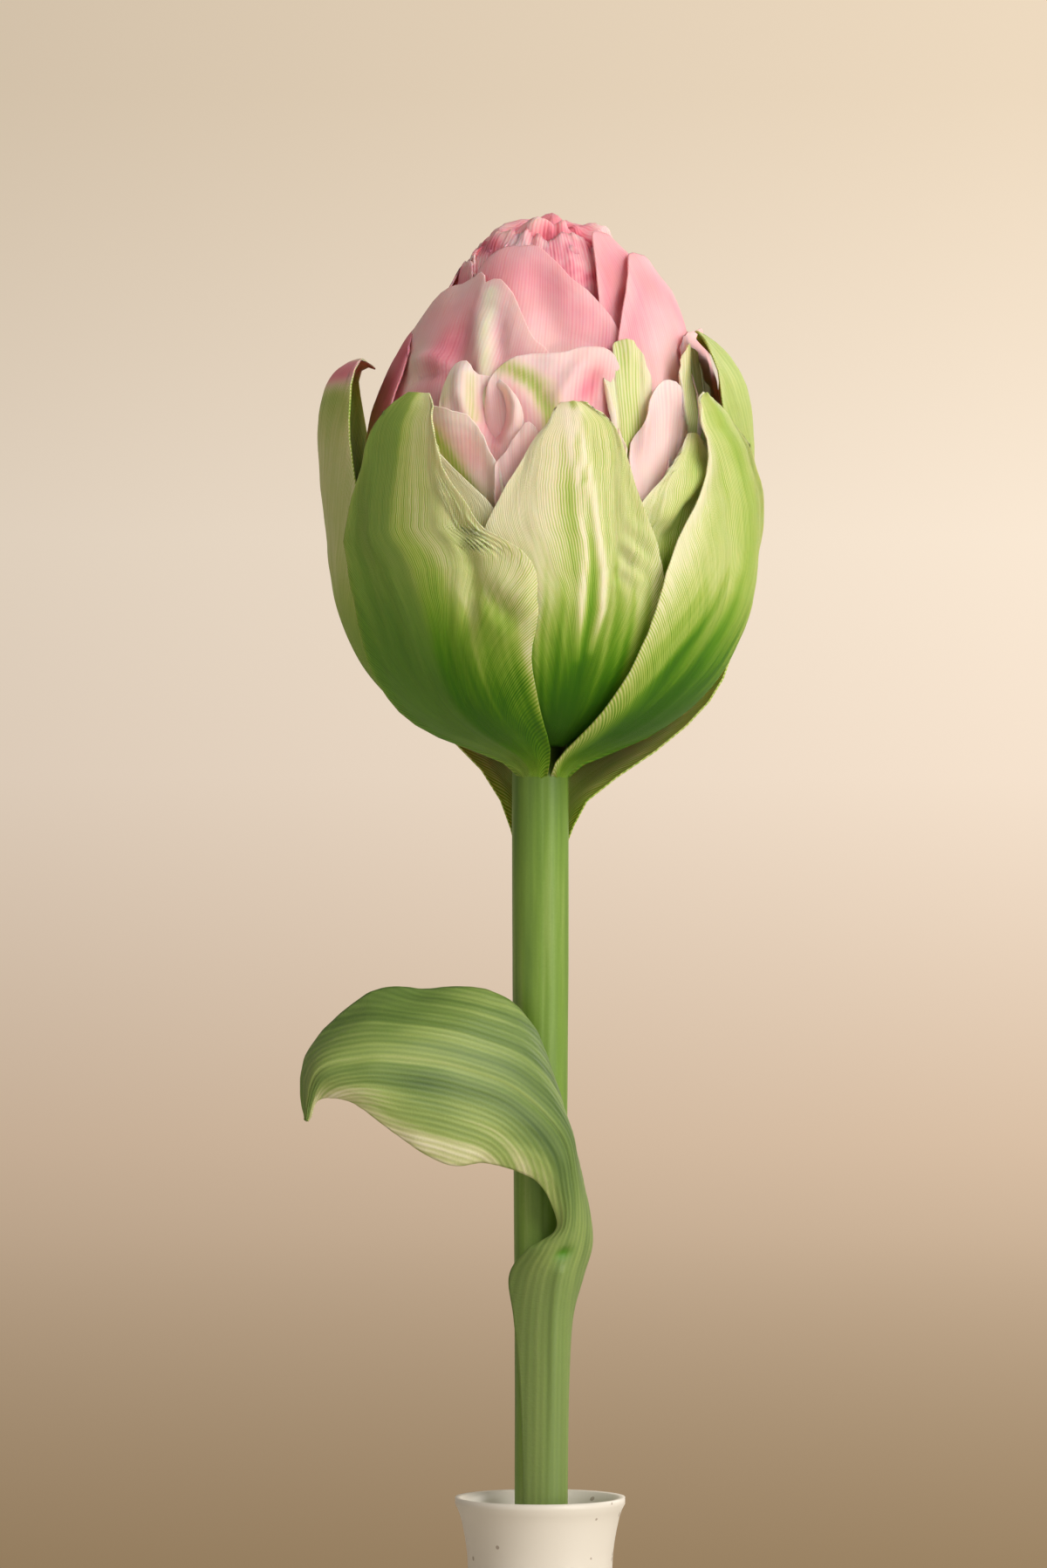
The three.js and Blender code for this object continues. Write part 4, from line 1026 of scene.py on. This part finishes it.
def turned_piece(name, line, segments, relief=None, ends="capped"):
    """A turned piece from a line of [radius, height], with relief(angle, height) set inwards."""
    grid = turned_grid(line, segments)
    angle = np.linspace(0, 2 * math.pi, segments, endpoint=False)
    if relief:
        radius = np.hypot(grid[..., 0], grid[..., 1])
        cut = relief(angle[None, :], grid[..., 2]) * smoothstep(radius, 1, 3)
        grid[..., :2] *= (1 - cut / np.maximum(radius, 0.1))[..., None]
    rows = len(grid)
    v = np.repeat(np.linspace(0, 1, rows), segments)
    u = np.tile(angle / (2 * math.pi), rows)
    return new_object(name, rows_of(grid), turned_faces(rows, segments, ends), np.stack([u, v], -1))


def stem_relief(angle, z):
    """Shallow grooves up the stem, deepest where the bract and the leaf run down into it."""
    grooves = 0.1 * bell(np.sin(angle / 2 - 0.08), 0.06) + 0.06 * (1 + np.cos(5 * angle + 0.6)) / 2
    flat = 0.05 * (1 + wander(angle * 2, z / 30, 301)) * (angle > 0)
    return (grooves + flat) * smoothstep(z, VASE_HEIGHT, VASE_HEIGHT + 20)


def vase_relief(angle, z):
    """Throwing rings and the slight unevenness of a hand-turned pot."""
    rings = 0.07 * (1 + np.sin(z * 1.35 + 0.25 * np.sin(angle + z / 14)))
    return rings * smoothstep(z, 8, 20) * (1 - smoothstep(z, 120, 134))


def vase_piece():
    line = np.concatenate([fine_line(VASE_OUTSIDE, 1.1), fine_line(VASE_INSIDE, 1.8)])
    return turned_piece("vase_fine", line, 144, vase_relief)


def water_piece():
    """Water with a meniscus at the wall and round the stem."""
    surface = WATER_LEVEL - 0.9
    floor = VASE_FLOOR + GAP
    hole = STEM_FOOT_RADIUS + GAP
    wall = [(r - 0.48, max(z, floor)) for r, z in VASE_INSIDE[::-1] if r > 1 and z < 91]
    top = [(20.3, surface), (19, surface - 0.5), (15, surface - 0.6), (8, surface - 0.6),
           (5.2, surface - 0.45), (hole, surface)]
    line = [[(hole, floor), (10, floor)], rounded(wall, 4), rounded(top, 4), [(hole, 50)]]
    return turned_piece("water_fine", np.concatenate(line), 96, ends="joined")


# Materials

class Shader:
    """The nodes of a new material. All but node and finish give the socket that comes out."""

    def __init__(self, name):
        self.material = bpy.data.materials.new(name)
        self.material.use_nodes = True
        self.tree = self.material.node_tree
        self.tree.nodes.clear()

    def node(self, kind, inputs=None, **settings):
        """Adds a shader node. Each input is a socket to link, or a value."""
        made = self.tree.nodes.new("ShaderNode" + kind)
        for key, value in settings.items():
            setattr(made, key, value)
        for key, value in (inputs or {}).items():
            if isinstance(value, bpy.types.NodeSocket):
                self.tree.links.new(value, made.inputs[key])
            else:
                made.inputs[key].default_value = value
        return made

    def maths(self, operation, *values, clamp=False):
        values = dict(enumerate(values))
        return self.node("Math", values, operation=operation, use_clamp=clamp).outputs[0]

    def plus(self, a, b, clamp=False):
        return self.maths("ADD", a, b, clamp=clamp)

    def times(self, a, b, clamp=False):
        return self.maths("MULTIPLY", a, b, clamp=clamp)

    def scaled(self, value, factor, added, clamp=False):
        return self.maths("MULTIPLY_ADD", value, factor, added, clamp=clamp)

    def between(self, value, low, high):
        """From 0 at low to 1 at high."""
        return self.node("MapRange", {"Value": value, 1: low, 2: high}).outputs[0]

    def mix(self, factor, a, b):
        """A blend of two colours, each a socket or its red, green and blue."""
        a, b = ((*colour, 1) if isinstance(colour, tuple) else colour for colour in (a, b))
        return self.node("Mix", {0: factor, 6: a, 7: b}, data_type="RGBA").outputs[2]

    def ramp(self, factor, stops):
        made = self.node("ValToRGB", {0: factor})
        elements = made.color_ramp.elements
        elements[0].position, elements[0].color = stops[0][0], (*stops[0][1], 1)
        elements[1].position, elements[1].color = stops[-1][0], (*stops[-1][1], 1)
        for place, colour in stops[1:-1]:
            elements.new(place).color = (*colour, 1)
        return made.outputs[0]

    def mask(self):
        """The painted mask's red, green, blue and alpha."""
        painted = self.node("Attribute", attribute_name="mask").outputs
        return *self.node("SeparateColor", {0: painted["Color"]}).outputs, painted["Alpha"]

    def vein_map(self):
        return self.node("UVMap", uv_map="veins").outputs[0]

    def place(self):
        return self.node("TexCoord").outputs["Object"]

    def height(self, place):
        return self.node("SeparateXYZ", {0: place}).outputs[2]

    def stretched(self, place, scale):
        return self.node("Mapping", {"Vector": place, "Scale": scale}).outputs[0]

    def noise(self, place, scale, detail=2.0, roughness=0.5):
        inputs = {"Vector": place, "Scale": scale, "Detail": detail, "Roughness": roughness}
        return self.node("TexNoise", inputs).outputs["Fac"]

    def lines(self, place, scale, distortion):
        """Soft lines along the second axis of a map."""
        inputs = {"Vector": place, "Scale": scale, "Distortion": distortion, "Detail Scale": 0.8}
        return self.node("TexWave", inputs, wave_type="BANDS", bands_direction="X").outputs["Fac"]

    def bump(self, height, strength, distance, below=None):
        inputs = {"Strength": strength, "Distance": distance, "Height": height}
        if below is not None:
            inputs["Normal"] = below
        return self.node("Bump", inputs).outputs[0]

    def finish(self, inputs):
        shader = self.node("BsdfPrincipled", inputs)
        self.node("OutputMaterial", {"Surface": shader.outputs[0]})
        return self.material


VEIN_SPACING = 0.7
WAVE_UNIT = math.pi / 10  # scale of a band texture whose lines lie one unit apart
PINK = [
    (0.0, (0.88, 0.80, 0.58)), (0.25, (0.95, 0.72, 0.67)), (0.5, (0.94, 0.52, 0.54)),
    (0.78, (0.90, 0.26, 0.34)), (1.0, (0.62, 0.09, 0.15)),
]
GREEN = [
    (0.0, (0.74, 0.71, 0.40)), (0.3, (0.50, 0.58, 0.16)), (0.55, (0.27, 0.42, 0.045)),
    (0.8, (0.10, 0.27, 0.004)), (1.0, (0.035, 0.15, 0.001)),
]


def flower_material(name, green_veins, pink_veins, subsurface, relief):
    """Petal flesh: pink and green by the mask, with fine veins that turn it greener or pinker."""
    s = Shader(name)
    green, pink, grey, dry = s.mask()
    veins = s.stretched(s.vein_map(), (1, 0.07, 1))
    lines = s.lines(veins, WAVE_UNIT / VEIN_SPACING, 2.4)
    streaks = s.noise(veins, 0.8, 4.0, 0.65)
    blotch = s.noise(s.vein_map(), 0.09)
    uneven = s.plus(streaks, -0.5)
    clear = s.scaled(uneven, 3.0, 0.75, clamp=True)
    vein = s.scaled(uneven, 0.9, s.times(s.plus(lines, -0.4), clear))
    present = s.times(green, 6, clamp=True)
    halfway = s.times(green, s.scaled(green, -1.0, 1.0))
    green_by = s.times(s.scaled(halfway, 3.4, 0.2), green_veins)
    green = s.scaled(vein, s.times(present, green_by), green)
    green = s.plus(green, s.scaled(blotch, 0.16, -0.08), clamp=True)
    pink = s.scaled(vein, pink_veins, pink)
    pink = s.plus(pink, s.scaled(blotch, 0.3, -0.15), clamp=True)
    colour = s.mix(s.times(green, 3.0, clamp=True), s.ramp(pink, PINK), s.ramp(green, GREEN))
    colour = s.mix(grey, colour, s.mix(0.6, colour, (0.20, 0.30, 0.10)))
    colour = s.mix(dry, colour, s.mix(streaks, (0.30, 0.14, 0.05), (0.10, 0.035, 0.012)))
    fine = s.bump(lines, 0.5, 0.0001 * relief)
    return s.finish({
        "Base Color": colour, "Roughness": 0.55, "Specular IOR Level": 0.2,
        "Subsurface Weight": subsurface, "Subsurface Radius": (1.0, 0.5, 0.3),
        "Subsurface Scale": 0.0016, "Normal": s.bump(streaks, 0.5, 0.00026 * relief, fine),
    })


def leaf_material():
    """Grey-green bands along the leaf, a pale ribbed lower margin and a bright green dent."""
    s = Shader("leaf_green")
    pale, sheath, dent, shade_and_mottle = s.mask()
    veins = s.stretched(s.vein_map(), (1, 0.035, 1))
    bands = s.noise(veins, 0.42, 3.0)
    lines = s.lines(veins, 0.36, 1.6)
    grain = s.noise(s.vein_map(), 2.5, 3.0)
    tone = s.plus(s.plus(bands, -0.08), s.scaled(lines, 0.12, -0.06))
    # Painted shade: the mask's alpha darkens the tone in patches, with random mottling.
    tone = s.scaled(shade_and_mottle, -0.3, s.scaled(pale, 0.42, tone))
    tone = s.plus(tone, s.scaled(grain, 0.1, -0.05), clamp=True)
    colour = s.ramp(tone, [
        (0.0, (0.055, 0.11, 0.018)), (0.35, (0.15, 0.23, 0.05)), (0.6, (0.28, 0.36, 0.10)),
        (0.85, (0.52, 0.52, 0.27)), (1.0, (0.70, 0.67, 0.48)),
    ])
    colour = s.mix(s.times(sheath, 0.7), colour, (0.17, 0.25, 0.065))
    colour = s.mix(dent, colour, (0.07, 0.22, 0.004))
    return s.finish({
        "Base Color": colour, "Roughness": 0.5, "Specular IOR Level": 0.4,
        "Subsurface Weight": 0.2, "Subsurface Radius": (0.7, 1.0, 0.25), "Subsurface Scale": 0.0012,
        "Normal": s.bump(grain, 0.4, 0.00012, s.bump(lines, 0.5, 0.00007)),
    })


def stem_material():
    """Green with fine lengthwise streaks and a bloomy grain, deeper under the bloom."""
    s = Shader("stem_green")
    place = s.place()
    streaks = s.noise(s.stretched(place, (1000, 1000, 45)), 0.6, 4.0)
    grain = s.noise(place, 2600.0)
    top = s.between(s.height(place), 0.235, 0.252)
    tone = s.scaled(top, -0.28, s.scaled(streaks, 1.6, -0.3))
    tone = s.plus(tone, s.scaled(grain, 0.16, -0.08), clamp=True)
    colour = s.ramp(tone, [
        (0.0, (0.09, 0.18, 0.02)), (0.5, (0.17, 0.29, 0.04)), (1.0, (0.30, 0.40, 0.11)),
    ])
    return s.finish({
        "Base Color": colour, "Roughness": 0.45, "Specular IOR Level": 0.4,
        "Subsurface Weight": 0.15, "Subsurface Radius": (0.7, 1.0, 0.25), "Subsurface Scale": 0.0012,
        "Normal": s.bump(streaks, 0.4, 0.00015),
    })


def stoneware_material():
    """Satin cream glaze with iron specks, over a bare clay foot."""
    s = Shader("stoneware")
    place = s.place()
    cloud = s.noise(place, 22.0, 5.0)
    cells = s.node("TexVoronoi", {"Vector": place, "Scale": 330.0}).outputs["Distance"]
    speck = s.maths("LESS_THAN", cells, s.scaled(s.noise(place, 120.0), 0.9, -0.37))
    bare = s.maths("LESS_THAN", s.scaled(cloud, 0.0015, s.height(place)), 0.0058)
    glaze = s.ramp(cloud, [(0.3, (0.66, 0.61, 0.53)), (0.7, (0.76, 0.72, 0.64))])
    glaze = s.mix(s.times(speck, 0.65), glaze, (0.24, 0.17, 0.11))
    return s.finish({
        "Base Color": s.mix(bare, glaze, (0.46, 0.36, 0.27)), "Roughness": s.scaled(bare, 0.4, 0.42),
        "Specular IOR Level": 0.5, "Normal": s.bump(cloud, 0.3, 0.0004),
    })


def water_material():
    return Shader("water").finish({
        "Base Color": (0.95, 0.98, 0.97, 1), "Roughness": 0.02, "IOR": 1.333,
        "Transmission Weight": 1.0,
    })


# Studio: a round floor that sweeps up into a glowing wall, four soft lights and a pale sky

FLOOR_RADIUS = 3000
WALL_RADIUS = 4200
WALL_HEIGHT = 2600
BACKDROP_SEGMENTS = 96
SKY = (1.0, 0.93, 0.84, 1)
SKY_STRENGTH = 0.22
LIGHTS = [  # name, place, width, watts and colour
    ("key", (900, -950, 1000), 1000, 19.5, (1, 0.97, 0.93)),
    ("low", (1000, -750, 60), 600, 5.5, (1, 0.96, 0.9)),
    ("fill", (-900, -1200, 350), 1200, 3, (1, 0.96, 0.9)),
    ("rim", (900, 900, 900), 600, 5, (1, 0.95, 0.88)),
]


def backdrop_material():
    """Pale floor round the vase, and a warm glow on the sweep that fades downwards and sideways."""
    s = Shader("backdrop")
    position = s.node("NewGeometry").outputs["Position"]
    x, y, z = s.node("SeparateXYZ", {0: position}).outputs
    reach = s.maths("SQRT", s.plus(s.times(x, x), s.times(y, y)))
    low = s.scaled(s.scaled(reach, -1.0, WALL_RADIUS * MM), -0.12, z)
    glow = s.ramp(s.scaled(low, 0.83, 0.333, clamp=True), [
        (0.04, (0.29, 0.20, 0.11)), (0.28, (0.585, 0.44, 0.315)), (0.5, (0.76, 0.63, 0.505)),
        (0.65, (0.79, 0.67, 0.54)), (0.93, (0.70, 0.575, 0.43)),
    ])
    behind = s.between(s.maths("DIVIDE", y, reach), 0.75, 0.97)
    far = s.between(reach, 0.7, 1.2)
    sides = s.maths("MINIMUM", s.maths("MAXIMUM", s.scaled(x, 0.4, 1.08), 0.85), 1.22)
    return s.finish({
        "Base Color": s.mix(far, (0.62, 0.56, 0.48), (0, 0, 0)), "Roughness": 0.9,
        "Specular IOR Level": 0.0, "Emission Color": s.mix(behind, (0.36, 0.31, 0.25), glow),
        "Emission Strength": s.times(far, sides),
    })


def add_backdrop():
    bend = WALL_RADIUS - FLOOR_RADIUS
    sweep = [
        (FLOOR_RADIUS + bend * math.sin(a), bend * (1 - math.cos(a)))
        for a in np.linspace(0, math.pi / 2, 24)
    ]
    line = [(AXIS, 0), (600, 0), (1400, 0), (2200, 0), *sweep, (WALL_RADIUS, WALL_HEIGHT)]
    faces = turned_faces(len(line), BACKDROP_SEGMENTS, "open")
    floor = new_object("backdrop", rows_of(turned_grid(line, BACKDROP_SEGMENTS)), faces)
    floor.data.materials.append(backdrop_material())


def add_light(name, place, size, power, colour):
    """A square soft light that faces the bloom."""
    data = bpy.data.lights.new(name, "AREA")
    data.size = size * MM
    data.energy = power
    data.color = colour
    light = bpy.data.objects.new(name, data)
    light.location = Vector(place) * MM
    aim = Vector((0, 0, BLOOM_BASE + 20)) * MM - light.location
    light.rotation_euler = aim.to_track_quat("-Z", "Y").to_euler()
    bpy.context.scene.collection.objects.link(light)


def add_sky():
    world = bpy.data.worlds.new("studio")
    world.use_nodes = True
    background = world.node_tree.nodes["Background"]
    background.inputs[0].default_value = SKY
    background.inputs[1].default_value = SKY_STRENGTH
    bpy.context.scene.world = world
    bpy.context.scene.view_settings.view_transform = "Standard"


def add_camera():
    """Level with the middle of the photograph, with the photograph's frame."""
    data = bpy.data.cameras.new("camera")
    data.sensor_fit = "VERTICAL"
    data.sensor_height = SENSOR
    data.lens = SENSOR * CAMERA_DISTANCE / (IMAGE[1] / PX)
    data.clip_end = 20
    camera = bpy.data.objects.new("camera", data)
    x = (IMAGE[0] / 2 - AXIS_COLUMN) / PX
    z = BLOOM_BASE + (BASE_ROW - IMAGE[1] / 2) / PX
    camera.location = Vector((x, -CAMERA_DISTANCE, z)) * MM
    camera.rotation_euler = (math.pi / 2, 0, 0)
    bpy.context.scene.collection.objects.link(camera)
    bpy.context.scene.camera = camera


# Assembly

def dress(piece, node, slot):
    """Puts the piece in the place of a solid, with the finish of its slot."""
    piece.data.materials.append(finishes[slot])
    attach(piece, "root")
    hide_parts(node)


add_camera()
add_backdrop()
for light in LIGHTS:
    add_light(*light)
add_sky()

finishes = {
    "tepal_green": flower_material("tepal_green", 0.38, 0.08, 0.3, 0.6),
    "cream_green": flower_material("cream_green", 0.22, 0.12, 0.35, 0.4),
    "petal_pink": flower_material("petal_pink", 0.12, 0.12, 0.4, 0.22),
    "heart_pink": flower_material("heart_pink", 0.1, 0.2, 0.4, 0.5),
    "stoneware": stoneware_material(),
    "water": water_material(),
    "stem_green": stem_material(),
    "leaf_green": leaf_material(),
}
dress(vase_piece(), "vase", "stoneware")
dress(water_piece(), "water", "water")
dress(turned_piece("stem_fine", fine_line(STEM, 1.6), 72, stem_relief), "stem", "stem_green")
dress(leaf_piece(), "leaf", "leaf_green")
for seed, shape in enumerate(TEPALS):
    columns, rows = shape.get("size", (46, 84))
    add_blade({"profile": CUP, "seed": seed, **shape}, "tepal_green", columns, rows)
for seed, shape in enumerate(PETALS, 21):
    add_blade(with_claw({"seed": seed, **shape}), shape.get("slot", "petal_pink"), 44, 96)
for seed, row in enumerate(BACK_PETALS, 40):
    add_blade(with_claw({"seed": seed, **ovate(*row)}), "petal_pink", 36, 72)
dress(heart_piece(), "heart", "heart_pink")
